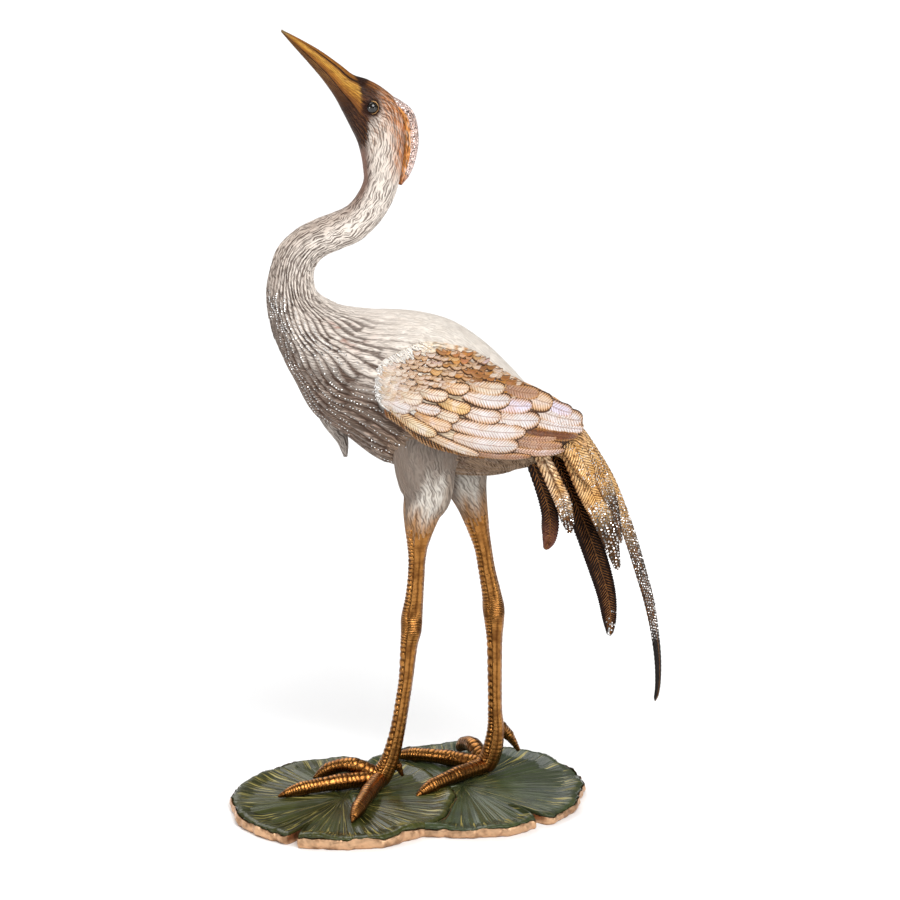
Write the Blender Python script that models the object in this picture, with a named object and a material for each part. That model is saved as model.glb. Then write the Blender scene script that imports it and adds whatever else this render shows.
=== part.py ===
"""Crane figure standing on two overlapping lily pads.

The crane is one casting: trunk, neck, head, bill, wings, tail plumes, legs and toes are one solid.
The two lily pads are a second casting that carries it, and each eye is a small glass bead in a socket.
Metres, +Z up. The crane looks along -X, and the origin is the middle of the underside of the pads.
"""

import math

import bmesh
import bpy
import numpy as np

# Driving sizes, in metres
CRANE_HEIGHT = 0.540
CRANE_BACK = 0.022
SEAT_GAP = 0.0003
EYE_RADIUS = 0.0037
EYE_GAP = 0.0003
LEFT_PAD_FROM_ANKLE = (-0.0270, -0.0250)
LEFT_PAD_RADIUS = 0.0790
LEFT_PAD_HEIGHT = 0.0085
LEFT_PAD_NOTCH = math.radians(245)
RIGHT_PAD_FROM_ANKLE = (-0.0170, -0.0262)
RIGHT_PAD_RADIUS = 0.0860
RIGHT_PAD_HEIGHT = 0.0070
RIGHT_PAD_NOTCH = math.radians(311)
RIM_RISE = 0.0018
RIM_WAVE = 0.0010
UNDERCUT = 0.0020

# The pose is free form: places on the figure are thousandths of the crane's height, along X
# from the origin, across from its middle plane and up from its soles.
SHARE = CRANE_HEIGHT / 1000
SOLE = LEFT_PAD_HEIGHT + SEAT_GAP

# Mesh fineness
TRUNK_RINGS = 38
CURVE_STEPS = 400
TRUNK_SIDES = 18
LEG_SIDES = 8
TOE_SIDES = 6
PAD_SPOKES = 54

# Colours
PEARL = (0.80, 0.76, 0.70)
LEAF = (0.08, 0.12, 0.05)
JET = (0.01, 0.008, 0.006)

# Trunk sections from the bill's tip to the rump: upper point, lower point, half width
TRUNK = [
    (-157, 998, -157.7, 995, 1.5),
    (-134, 986, -141.5, 976, 5.0),
    (-109, 971.5, -124, 956, 8.5),
    (-84, 953.5, -107, 935.5, 11.5),
    (-68, 941, -92, 914, 16),
    (-49, 934.5, -82, 895, 21),
    (-28, 922, -72.5, 876, 25),
    (-9, 902, -64, 858, 26.5),
    (-2, 872, -59, 840, 25.5),
    (-3, 844, -56.5, 823, 23),
    (-8, 814, -56, 806, 22),
    (-18, 782, -64, 788, 21.5),
    (-33, 756, -77, 773, 22),
    (-57, 731, -96, 764, 23),
    (-82, 719, -119, 755, 24),
    (-105, 709, -142, 742, 25),
    (-117, 695, -165, 718, 27),
    (-120, 678, -177, 681, 29.5),
    (-115, 660, -179, 647, 34),
    (-97, 647, -173, 611, 43),
    (-74, 640, -160, 577, 54),
    (-46, 637, -143, 544, 62),
    (-14, 637, -120, 503, 69),
    (22, 633, -77, 472, 73),
    (60, 621, -31, 440, 73),
    (98, 595, 27, 425, 67),
    (133, 561, 92, 420, 54),
    (164, 526, 134, 425, 40),
    (192, 498, 166, 434, 28),
    (214, 472, 196, 448, 12),
]

# Locks carved on the neck's foot and the breast: first and last place along the trunk, first
# and last angle from the back in degrees, how many lie between them, and half width
LOCKS = [
    (0.50, 0.62, 84, 166, 4, 6.5),
    (0.57, 0.70, 68, 172, 4, 8.0),
    (0.65, 0.78, 90, 166, 3, 9.0),
]
LOCK_HEIGHT = 3.2
LOCK_ROOT = 5.0
LOCK_SINK = 1.5
LOCK_SWING = 0.10
LOCK_DRIFT = 0.012

# Legs from inside the body to the ankle: along, up, across, half depth, half width
LEFT_LEG = [
    (24, 474, -34, 50, 30),
    (22, 437, -34, 39, 27),
    (24, 402, -33, 32, 22),
    (17, 375, -32, 23.5, 16),
    (12.5, 341, -31, 15, 12),
    (11, 316, -30, 11, 9.5),
    (9.5, 287, -29, 10.5, 9),
    (7, 258, -28, 11.5, 10),
    (4, 234, -28, 13.5, 12),
    (3, 215, -28, 13, 11.5),
    (0, 194, -27, 10.8, 9),
    (-4, 149, -26, 9, 8.5),
    (-9, 114, -25, 9, 8.5),
    (-16, 73, -25, 9.5, 9),
    (-25, 36, -24, 11.5, 11),
    (-36, 11, -24, 12, 13),
]
RIGHT_LEG = [
    (62, 470, 34, 46, 30),
    (68, 430, 34, 37, 27),
    (75, 396, 33, 27, 20),
    (84, 364, 32, 18.5, 15),
    (91, 335, 31, 13.8, 12),
    (97, 310, 30, 11, 9.5),
    (102, 280, 30, 10.8, 9.5),
    (108, 249, 30, 12.2, 11),
    (111, 228, 30, 14, 12),
    (112, 210, 30, 12.8, 11),
    (112.5, 182, 30, 10, 9),
    (113, 127, 30, 9, 8.5),
    (113.5, 84, 30, 9, 8.5),
    (114.5, 56, 30, 11, 10),
    (110, 26, 30, 13, 12.5),
    (102, 9, 30, 12.5, 13),
]

# Toes: heading in degrees from +X, reach, arch at the middle. Hind toes: root, tip, half width
LEFT_TOES = [(200, 142, 3), (256, 142, 3), (168, 92, 16)]
RIGHT_TOES = [(157, 136, 4), (226, 132, 3), (114, 92, 16)]
TOE_SHAPE = [(0, 11.5), (0.22, 10.6), (0.45, 9.9), (0.66, 9.2), (0.82, 8.2), (0.93, 5.0), (1, 1.3)]
LEFT_HIND_TOE = ((-24, -23, 34), (-9, -16, 8), 7.0)
RIGHT_HIND_TOE = ((111, 31, 64), (146, 52, 18), 9.0)

# Wing sections from shoulder to tip: along, up at its upper and lower edge, then how far out
# from the middle plane at half height, at the upper edge and at the lower edge
WING = [
    (-37, 566, 556, 69, 67, 69),
    (-28, 586, 530, 79, 68, 77),
    (-9, 600, 509, 86, 62, 83),
    (25, 610, 484, 89, 50, 85),
    (79, 597, 469, 87, 37, 83),
    (110, 575, 465, 81, 28, 77),
    (143, 552, 461, 70, 19, 66),
    (170, 538, 458, 58, 15, 54),
    (192, 524, 464, 46, 13, 43),
    (210, 509, 474, 35, 12, 31),
    (226, 496, 482, 24, 13, 21),
]
# The right wing is folded a little lower towards its tip: how much, from where, and over what reach
RIGHT_WING_DROP = 38
DROP_FROM = 40
DROP_REACH = 90
# The wing's inner face reaches this share of its outer face's distance from the middle plane
WING_INNER_SHARE = 0.3
WING_INNER_SHRINK = 0.08

# Wing feathers from the lowest row up: root (along, up), tip (along, up), half width
FEATHERS = [
    (36, 496, 117, 467, 11), (117, 486, 194, 462, 9), (124, 473, 188, 459, 8),
    (54, 499, 140, 487, 15), (-6, 527, 41, 502, 12), (46, 517, 136, 499, 14),
    (124, 521, 194, 492, 12), (153, 509, 224, 487, 8),
    (6, 533, 56, 517, 12), (48, 530, 117, 514, 13), (107, 534, 166, 512, 13), (156, 522, 223, 493, 11),
    (-4, 540, 41, 536, 11), (31, 545, 80, 536, 11.5), (72, 544, 128, 533, 12), (117, 545, 186, 513, 12),
    (164, 531, 209, 504, 8.5),
    (-14, 553, 26, 544, 12), (16, 562, 69, 551, 12), (56, 561, 117, 547, 12), (112, 552, 167, 531, 8.5),
]
FEATHER_RISE = 4.5
FEATHER_HEIGHT = 2.2
FEATHER_DEPTH = 5.5

# Tail plumes, near side: centre line and half width (along, up, half width) from root to tip,
# across at the root and at the tip, the way the face looks, and whether the far side has its twin
PLUMES = [
    ([(156, 452, 9), (171, 412, 10), (180, 385, 11), (184, 361, 11), (182, 339, 9), (177, 326, 3)],
     -14, -30, (-0.2, -0.95, 0.2), True),
    ([(168, 458, 10), (188, 416, 11), (199, 392, 11), (205, 370, 9), (208, 354, 3)],
     -24, -50, (0.3, -0.9, 0.25), True),
    ([(184, 452, 11), (207, 400, 14), (230, 346, 16.5), (246, 300, 16), (258, 258, 14), (263, 222, 10.5),
      (264, 197, 4)], -2, 3, (0.45, -0.9, 0.1), False),
    ([(202, 470, 13), (231, 411, 17.5), (248, 375, 15.5), (261, 340, 11.5), (271, 302, 4)],
     -20, -42, (0.35, -0.9, 0.3), True),
    ([(218, 478, 9), (247, 424, 13), (263, 382, 12), (275, 332, 4.5)], -10, -22, (0.65, -0.7, 0.35), True),
    ([(216, 484, 10), (238, 446, 14), (259, 408, 15), (277, 366, 13.5), (291, 326, 13), (303, 286, 12),
      (314, 247, 11), (322, 206, 9), (327, 165, 7), (328, 130, 5), (324.5, 107, 2.5)],
     0, 0, (0.75, -0.57, 0.35), False),
    ([(190, 492, 12), (212, 462, 16), (228, 434, 14), (238, 412, 4)], -20, -34, (0.45, -0.8, 0.4), True),
]
PLUME_HEIGHT = 3.0
PLUME_DEPTH = 2.4

# The root of the tail: along, up, half depth, half width
TAIL_ROOT = [(160, 498, 36, 34), (188, 480, 32, 31), (210, 460, 24, 25), (226, 440, 15, 16), (236, 422, 5, 6)]

# Crest on the back of the head, and tufts that hang from the breast: along, up, half depth, half width
CREST = [
    (-18, 906, 3, 6),
    (-1, 890, 9, 12),
    (4, 862, 10, 14),
    (2, 838, 9, 12),
    (-3, 818, 7, 9),
    (-10, 800, 2, 3),
]
TUFT = [(-110, 520, 17, 9), (-99, 492, 12.5, 9), (-86, 467, 8, 7), (-81, 442, 2, 2)]
SHORT_TUFT = [(-96, 506, 14, 9), (-80, 488, 9, 7), (-70, 474, 2.5, 2.5)]
EYE_PLACE = (-43.5, 903, 21.5)


def clear_scene():
    for obj in list(bpy.data.objects):
        bpy.data.objects.remove(obj)


def collection(name, shown=True):
    made = bpy.data.collections.new(name)
    made.hide_render = not shown
    bpy.context.scene.collection.children.link(made)
    return made


def finish(name, colour, roughness, metallic=0.0):
    material = bpy.data.materials.new(name)
    material.use_nodes = True
    shader = material.node_tree.nodes["Principled BSDF"]
    shader.inputs["Base Color"].default_value = (*colour, 1)
    shader.inputs["Roughness"].default_value = roughness
    shader.inputs["Metallic"].default_value = metallic
    return material


def on_figure(points):
    """World places of points given in thousandths of the crane's height."""
    points = np.asarray(points, float) * SHARE
    return points + np.array([0, CRANE_BACK, SOLE])


def through(rows, count):
    """Rows of numbers read from a smooth curve through the given rows, count of them."""
    rows = np.asarray(rows, float)
    padded = np.vstack([2 * rows[0] - rows[1], rows, 2 * rows[-1] - rows[-2]])
    at = np.linspace(0, len(rows) - 1, count)
    k = np.minimum(at.astype(int), len(rows) - 2)
    f = (at - k)[:, None]
    a, b, c, d = (padded[k + i] for i in range(4))
    return 0.5 * (2 * b + (c - a) * f + (2 * a - 5 * b + 4 * c - d) * f**2 + (3 * b - 3 * c + d - a) * f**3)


TRUNK_CURVE = through(TRUNK, CURVE_STEPS)


def unit(vectors):
    return vectors / np.maximum(np.linalg.norm(vectors, axis=-1, keepdims=True), 1e-9)


def solid_from_rings(name, rings, into):
    """A closed skin over rings of points, in world metres, with a point at the middle of each end."""
    rings = np.asarray(rings)
    count, sides = rings.shape[:2]
    mesh = bmesh.new()
    grid = [[mesh.verts.new(p) for p in ring] for ring in rings]
    first = mesh.verts.new(rings[0].mean(axis=0))
    last = mesh.verts.new(rings[-1].mean(axis=0))
    for j in range(sides):
        k = (j + 1) % sides
        mesh.faces.new((first, grid[0][k], grid[0][j]))
        mesh.faces.new((last, grid[-1][j], grid[-1][k]))
        for i in range(count - 1):
            mesh.faces.new((grid[i][j], grid[i][k], grid[i + 1][k], grid[i + 1][j]))
    bmesh.ops.recalc_face_normals(mesh, faces=mesh.faces)
    data = bpy.data.meshes.new(name)
    mesh.to_mesh(data)
    mesh.free()
    made = bpy.data.objects.new(name, data)
    into.objects.link(made)
    return made


def limb(name, path, depth, width, sides, into, across=(0, 1, 0)):
    """A tube along a path in figure shares, its section as deep and as wide as stated at each point."""
    path = np.asarray(path, float)
    along = unit(np.gradient(path, axis=0))
    wide = unit(np.asarray(across, float) - (along @ np.asarray(across, float))[:, None] * along)
    deep = np.cross(along, wide)
    turn = np.linspace(0, 2 * math.pi, sides, endpoint=False)[None, :, None]
    rings = (
        path[:, None]
        + deep[:, None] * np.cos(turn) * np.asarray(depth)[:, None, None]
        + wide[:, None] * np.sin(turn) * np.asarray(width)[:, None, None]
    )
    return solid_from_rings(name, on_figure(rings), into)


def trunk_point(place, turn, lift=0.0):
    """A point on the trunk: place from bill 0 to rump 1, turn in radians from the back, lift above."""
    place, turn, lift = np.broadcast_arrays(*(np.asarray(v, float) for v in (place, turn, lift)))
    at = np.clip(place, 0, 1) * (CURVE_STEPS - 1)
    x0, z0, x1, z1, wide = (np.interp(at, np.arange(CURVE_STEPS), TRUNK_CURVE[:, i]) for i in range(5))
    half = np.hypot(x0 - x1, z0 - z1) / 2
    grow = 1 + lift / np.maximum(half, 1)
    x = (x0 + x1) / 2 + (x0 - x1) / 2 * np.cos(turn) * grow
    z = (z0 + z1) / 2 + (z0 - z1) / 2 * np.cos(turn) * grow
    return np.stack([x, (wide + lift) * np.sin(turn), z], -1)


def trunk(into):
    """Rump, body, neck, head and bill as one skin."""
    place = np.linspace(0, 1, TRUNK_RINGS)[:, None]
    turn = np.linspace(0, 2 * math.pi, TRUNK_SIDES, endpoint=False)[None, :]
    return solid_from_rings("trunk", on_figure(trunk_point(place, turn)), into)


def lock(name, side, start, end, turn, half_width, into):
    """One lock of the breast: a ridge along the trunk, pointed at both ends."""
    share = np.array([0, 0.33, 0.68, 1])
    place = start + (end - start) * share
    swing = math.radians(turn) + LOCK_SWING * np.sin(2 * math.pi * share)
    swell = np.sin(math.pi * (0.08 + 0.84 * share)) ** 0.8
    path = trunk_point(place, side * swing, LOCK_HEIGHT * swell - LOCK_SINK)
    inner = trunk_point(place, side * swing, -LOCK_ROOT)
    wide = unit(np.cross(path - inner, unit(np.gradient(path, axis=0)))) * (half_width * swell)[:, None]
    edge = path * 0.45 + inner * 0.55
    rings = np.stack([path, edge + wide, inner, edge - wide], 1)
    return solid_from_rings(name, on_figure(rings), into)


def locks(into):
    made = []
    for row, (start, end, first, last, count, half_width) in enumerate(LOCKS):
        for i, turn in enumerate(np.linspace(first, last, count)):
            drift = LOCK_DRIFT * math.sin(2.3 * i + row)
            for side in (-1, 1):
                name = f"lock_{row}_{i}_{side}"
                made.append(lock(name, side, start + drift, end + drift, turn, half_width, into))
    return made


def toe(name, ankle, heading, reach, arch, into):
    turn = math.radians(heading)
    way = np.array([math.cos(turn), math.sin(turn), 0])
    share, thick = (np.array(column, float) for column in zip(*TOE_SHAPE))
    lift = 0.72 * thick + arch * np.sin(math.pi * np.clip(share * 1.08, 0, 1))
    lift[-1] = 1.0
    path = ankle + way * (share * reach)[:, None] + np.array([0, 0, 1]) * lift[:, None]
    return limb(name, path, thick, thick, TOE_SIDES, into, across=(-way[1], way[0], 0))


def foot(name, rows, ground, toes, hind, into):
    """Three front toes that end in claws, and a short hind toe."""
    along, _, across = rows[-1][:3]
    ankle = np.array([along, across, ground])
    made = [toe(f"{name}_toe_{i}", ankle, *values, into) for i, values in enumerate(toes)]
    root, tip, thick = hind
    root, tip = np.array(root, float), np.array(tip, float)
    share = np.linspace(0, 1, 5)
    path = root + (tip - root) * share[:, None]
    path[:, 2] += 0.16 * (root[2] - tip[2]) * np.sin(math.pi * share)
    size = thick * (1 - 0.72 * share**2)
    made.append(limb(f"{name}_hind_toe", path, size, size, TOE_SIDES, into))
    return made


def leg(name, rows, into):
    rows = np.asarray(rows, float)
    return limb(name, rows[:, [0, 2, 1]], rows[:, 3], rows[:, 4], LEG_SIDES, into)


def wing_point(side, along, up, lift=0.0):
    """The point of a wing's outer face at this place along and up, side -1 for the left wing."""
    along, up, lift = np.broadcast_arrays(*(np.asarray(v, float) for v in (along, up, lift)))
    rows = np.array(WING, float)
    top, low, middle, at_top, at_low = (np.interp(along, rows[:, 0], rows[:, i]) for i in range(1, 6))
    t = np.clip((up - low) / np.maximum(top - low, 1), -0.1, 1.1)
    crown = middle - (at_top + at_low) / 2
    out = at_low * (1 - t) + at_top * t + 4 * crown * t * (1 - t)
    drop = RIGHT_WING_DROP * np.clip((along - DROP_FROM) / DROP_REACH, 0, 1) if side > 0 else 0
    return np.stack([along, side * (out + lift), up - drop], -1)


def wing_normal(side, along, up):
    """The way the wing's outer face looks at this place along and up."""
    ahead = wing_point(side, along + 2, up) - wing_point(side, along - 2, up)
    above = wing_point(side, along, up + 2) - wing_point(side, along, up - 2)
    normal = unit(np.cross(ahead, above))
    return normal * np.sign(normal[..., 1:2]) * side


def wing_blade(side, into):
    """The wing under its feathers: a shield-shaped slab from the body out to its outer face."""
    rows = np.array(WING, float)
    rings = []
    for x, top, low in rows[:, :3]:
        up = np.linspace(low, top, 6)
        outer = wing_point(side, np.full(6, x), up)
        inner = outer[::-1] * np.array([1, WING_INNER_SHARE, 1])
        inner[:, 2] += np.linspace(-WING_INNER_SHRINK, WING_INNER_SHRINK, 6) * (top - low)
        rings.append(np.vstack([outer, inner[[0, 2, 3, 5]]]))
    return solid_from_rings(f"wing_blade_{side}", on_figure(rings), into)


def leaf(name, path, normal, half_width, height, depth, into):
    """A feather: a crowned blade along a path, ridged at its shaft."""
    along = unit(np.gradient(path, axis=0))
    normal = unit(normal - np.sum(normal * along, axis=1, keepdims=True) * along)
    wide = np.cross(normal, along) * np.asarray(half_width, float)[:, None]
    rings = np.stack(
        [
            path - wide + normal * height * 0.2,
            path + normal * height,
            path + wide + normal * height * 0.2,
            path + wide * 0.82 - normal * depth,
            path - wide * 0.82 - normal * depth,
        ],
        1,
    )
    return solid_from_rings(name, on_figure(rings), into)


def wing_feathers(side, into):
    """Rows of feathers like shingles, each rising off the wing from its root to its tip."""
    share = np.array([0, 0.42, 0.82, 1])
    swell = np.array([0.65, 1, 0.86, 0.34])
    made = []
    for i, (x0, z0, x1, z1, half_width) in enumerate(FEATHERS):
        x = x0 + (x1 - x0) * share
        z = z0 + (z1 - z0) * share - 3 * np.sin(math.pi * share)
        path = wing_point(side, x, z)
        normal = wing_normal(side, x, z)
        path = path + normal * (FEATHER_RISE * share)[:, None]
        size = half_width * swell
        made.append(leaf(f"feather_{side}_{i}", path, normal, size, FEATHER_HEIGHT, FEATHER_DEPTH, into))
    return made


def plumes(into):
    made = []
    for i, (line, y0, y1, facing, twin) in enumerate(PLUMES):
        line = np.array(line, float)
        share = np.linspace(0, 1, len(line))
        for side in (1, -1) if twin else (1,):
            across = side * (y0 + (y1 - y0) * share**1.2)
            path = np.stack([line[:, 0], across, line[:, 1]], 1)
            normal = np.repeat([[facing[0], side * facing[1], facing[2]]], len(line), 0)
            made.append(leaf(f"plume_{i}_{side}", path, normal, line[:, 2], PLUME_HEIGHT, PLUME_DEPTH, into))
    root = np.array(TAIL_ROOT, float)
    path = np.stack([root[:, 0], 0 * root[:, 0], root[:, 1]], 1)
    made.append(limb("tail_root", path, root[:, 2], root[:, 3], 10, into))
    return made


def ridge(name, rows, sides, into):
    """A tuft in the middle plane: the crest, or a tuft of the breast."""
    rows = np.array(rows, float)
    path = np.stack([rows[:, 0], 0 * rows[:, 0], rows[:, 1]], 1)
    return limb(name, path, rows[:, 2], rows[:, 3], sides, into)


def join(name, pieces, material):
    """One solid out of pieces that run into each other."""
    first = pieces[0]
    first.name = name
    first.data.materials.clear()
    first.data.materials.append(material)
    others = bpy.data.collections.new(name + "_pieces")
    for piece in pieces[1:]:
        others.objects.link(piece)
        piece.hide_render = True
        piece.display_type = "WIRE"
    union = first.modifiers.new("one casting", "BOOLEAN")
    union.operand_type = "COLLECTION"
    union.collection = others
    union.operation = "UNION"
    union.solver = "EXACT"
    return first


def baked(obj, into):
    """A copy with the modifiers applied, and with pockets closed in between feathers filled."""
    graph = bpy.context.evaluated_depsgraph_get()
    mesh = bmesh.new()
    mesh.from_mesh(bpy.data.meshes.new_from_object(obj.evaluated_get(graph)))
    keep_largest_shell(mesh)
    data = bpy.data.meshes.new(obj.name)
    mesh.to_mesh(data)
    mesh.free()
    data.materials.clear()
    for material in obj.data.materials:
        data.materials.append(material)
    name = obj.name
    obj.name = name + "_source"
    obj.hide_render = True
    obj.display_type = "WIRE"
    made = bpy.data.objects.new(name, data)
    into.objects.link(made)
    return made


def keep_largest_shell(mesh):
    """Deletes every shell but the largest, so that a pocket closed off inside becomes solid."""
    left = set(mesh.faces)
    shells = []
    while left:
        stack, shell = [left.pop()], []
        while stack:
            face = stack.pop()
            shell.append(face)
            for edge in face.edges:
                for other in edge.link_faces if len(edge.link_faces) == 2 else ():
                    if other in left:
                        left.remove(other)
                        stack.append(other)
        shells.append(shell)
    shells.sort(key=len)
    loose = [face for shell in shells[:-1] for face in shell]
    bmesh.ops.delete(mesh, geom=loose, context="FACES")


def cut(body, cutter):
    cutter.hide_render = True
    cutter.display_type = "WIRE"
    took = body.modifiers.new("cut", "BOOLEAN")
    took.object = cutter
    took.operation = "DIFFERENCE"
    took.solver = "EXACT"
    took.use_self = True


def pad_rim(radius, notch, turn):
    """Distance of a pad's rim from its middle at each angle: shallow scallops and one narrow notch."""
    scallop = 1 + 0.010 * np.sin(9 * turn) + 0.009 * np.sin(16 * turn + 1.3)
    off = (turn - notch + math.pi) % (2 * math.pi) - math.pi
    slit = 1 - 0.30 * np.exp(-((off / 0.035) ** 2))
    return radius * scallop * slit


def lily_pad(name, middle, radius, height, notch, into, grown):
    """One pad: a shallow dish with a waved rim, flat underneath and undercut at its edge."""
    spread = np.linspace(0, 2 * math.pi, PAD_SPOKES, endpoint=False)
    turn = notch + spread - 0.7 * np.sin(spread)
    rim = pad_rim(radius, notch, turn) + grown
    wave = RIM_WAVE * (np.sin(7 * turn + radius * 100) + 0.6 * np.sin(13 * turn))
    rings = []
    for share, rise in ((0.45, 0.0), (0.86, 0.25), (1.0, 1.0)):
        up = height + (RIM_RISE + wave) * rise + grown
        rings.append(np.stack([rim * share * np.cos(turn), rim * share * np.sin(turn), up], 1))
    under = rim - UNDERCUT
    rings.append(np.stack([under * np.cos(turn), under * np.sin(turn), 0 * turn], 1))
    return solid_from_rings(name, np.array(rings) + np.array([*middle, 0]), into)


def ankle_of(leg_rows):
    """Where an ankle is in plan, in metres."""
    along, _, across = leg_rows[-1][:3]
    return on_figure([along, across, 0])[:2]


def lily_pads(name, into, grown=0.0):
    """Both pads, the left one lapping over the right one. The grown copy is the cutter for the feet."""
    left_at = ankle_of(LEFT_LEG) + np.array(LEFT_PAD_FROM_ANKLE)
    right_at = ankle_of(RIGHT_LEG) + np.array(RIGHT_PAD_FROM_ANKLE)
    left = lily_pad(name, left_at, LEFT_PAD_RADIUS, LEFT_PAD_HEIGHT, LEFT_PAD_NOTCH, into, grown)
    name += "_right"
    right = lily_pad(name, right_at, RIGHT_PAD_RADIUS, RIGHT_PAD_HEIGHT, RIGHT_PAD_NOTCH, into, grown)
    return [left, right]


def bead(name, place, radius, into):
    bpy.ops.mesh.primitive_uv_sphere_add(segments=10, ring_count=6, radius=radius, location=place)
    made = bpy.context.object
    made.name = name
    for held in made.users_collection:
        held.objects.unlink(made)
    into.objects.link(made)
    return made


def crane(helpers):
    """The whole bird before its eye sockets are cut, seated on the pads."""
    body = [trunk(helpers)]
    right_ground = (RIGHT_PAD_HEIGHT - LEFT_PAD_HEIGHT) / SHARE
    body += [leg("left_leg", LEFT_LEG, helpers), leg("right_leg", RIGHT_LEG, helpers)]
    body += foot("left", LEFT_LEG, 0.0, LEFT_TOES, LEFT_HIND_TOE, helpers)
    body += foot("right", RIGHT_LEG, right_ground, RIGHT_TOES, RIGHT_HIND_TOE, helpers)
    for side in (-1, 1):
        body.append(wing_blade(side, helpers))
        body += wing_feathers(side, helpers)
    body += locks(helpers)
    body += plumes(helpers)
    body.append(ridge("crest", CREST, 8, helpers))
    body.append(ridge("tuft", TUFT, 6, helpers))
    body.append(ridge("short_tuft", SHORT_TUFT, 6, helpers))
    whole = baked(join("crane_in_one", body, finish("pearl enamel", PEARL, 0.3)), helpers)
    cut(whole, cutter_for_feet(helpers))
    return whole


def cutter_for_feet(helpers):
    """The pads grown by the seating gap: what they take from the toes seats the crane on them."""
    grown_pads = lily_pads("seat", helpers, SEAT_GAP)
    return baked(join("seat_in_one", grown_pads, finish("seat", LEAF, 0.5)), helpers)


def build():
    clear_scene()
    shown = collection("crane on lily pads")
    helpers = collection("helpers", shown=False)
    base = baked(join("pads_in_one", lily_pads("pads", helpers), finish("leaf enamel", LEAF, 0.25)), shown)
    base.name = "lily_pads"
    bird = crane(helpers)
    jet = finish("jet glass", JET, 0.05)
    for name, side in (("eye_left", -1), ("eye_right", 1)):
        along, up, across = EYE_PLACE
        place = on_figure([along, side * across, up])
        cut(bird, bead(name + "_socket", place, EYE_RADIUS + EYE_GAP, helpers))
        bead(name, place, EYE_RADIUS, shown).data.materials.append(jet)
    baked(bird, shown).name = "crane"


build()
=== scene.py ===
"""Crane figure on two lily pads: its enamel, gilding and set stones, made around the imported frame.

Places on the figure are thousandths of the crane's height: along X from the origin, up from the
soles, and across from the bird's middle plane. The crane looks along -X, its left side faces -Y.
"""

import math

import bpy
import numpy as np
from bpy.props import FloatProperty, FloatVectorProperty, IntProperty, PointerProperty
from mathutils import Matrix, Vector


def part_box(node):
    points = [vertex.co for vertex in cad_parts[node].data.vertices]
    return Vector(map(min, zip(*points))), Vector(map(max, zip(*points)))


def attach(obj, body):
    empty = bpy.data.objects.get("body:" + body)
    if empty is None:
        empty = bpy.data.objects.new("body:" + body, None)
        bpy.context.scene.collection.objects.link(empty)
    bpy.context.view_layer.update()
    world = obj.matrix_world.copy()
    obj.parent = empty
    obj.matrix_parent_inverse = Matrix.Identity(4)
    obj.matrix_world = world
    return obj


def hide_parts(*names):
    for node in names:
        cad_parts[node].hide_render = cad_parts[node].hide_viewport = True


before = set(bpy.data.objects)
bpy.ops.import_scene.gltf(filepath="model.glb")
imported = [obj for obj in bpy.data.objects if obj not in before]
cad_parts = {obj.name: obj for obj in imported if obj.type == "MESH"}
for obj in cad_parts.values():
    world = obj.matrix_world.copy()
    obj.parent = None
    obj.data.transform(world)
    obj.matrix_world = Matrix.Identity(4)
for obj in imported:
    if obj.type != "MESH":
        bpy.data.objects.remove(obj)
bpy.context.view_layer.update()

bl_info = {
    "name": "Crane figure",
    "version": (1, 0, 0),
    "blender": (4, 5, 0),
    "location": "View3D > Sidebar > Crane",
    "description": "Builds an enamelled crane with set stones on two gilt-edged lily pads",
    "category": "Add Mesh",
}

# The figure's scale and place, from the frame
SOLE = 0.0088
MIDDLE = 0.022
BILL_TIP_UP = 998
SHARE = (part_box("crane")[1].z - SOLE) / BILL_TIP_UP
MM = 1000 * SHARE

# Trunk sections from the bill's tip to the rump: upper point, lower point, half width
TRUNK = [
    (-157, 998, -157.7, 995, 1.5), (-134, 986, -141.5, 976, 5.0), (-109, 971.5, -124, 956, 8.5),
    (-84, 953.5, -107, 935.5, 11.5), (-68, 941, -92, 914, 16), (-49, 934.5, -82, 895, 21),
    (-28, 922, -72.5, 876, 25), (-9, 902, -64, 858, 26.5), (-2, 872, -59, 840, 25.5),
    (-3, 844, -56.5, 823, 23), (-8, 814, -56, 806, 22), (-18, 782, -64, 788, 21.5),
    (-33, 756, -77, 773, 22), (-57, 731, -96, 764, 23), (-82, 719, -119, 755, 24),
    (-105, 709, -142, 742, 25), (-117, 695, -165, 718, 27), (-120, 678, -177, 681, 29.5),
    (-115, 660, -179, 647, 34), (-97, 647, -173, 611, 43), (-74, 640, -160, 577, 54),
    (-46, 637, -143, 544, 62), (-14, 637, -120, 503, 69), (22, 633, -77, 472, 73),
    (60, 621, -31, 440, 73), (98, 595, 27, 425, 67), (133, 561, 92, 420, 54),
    (164, 526, 134, 425, 40), (192, 498, 166, 434, 28), (214, 472, 196, 448, 12),
]
LAST_ROW = len(TRUNK) - 1
CURVE_STEPS = 900
LIMB_STEPS = 240

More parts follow.
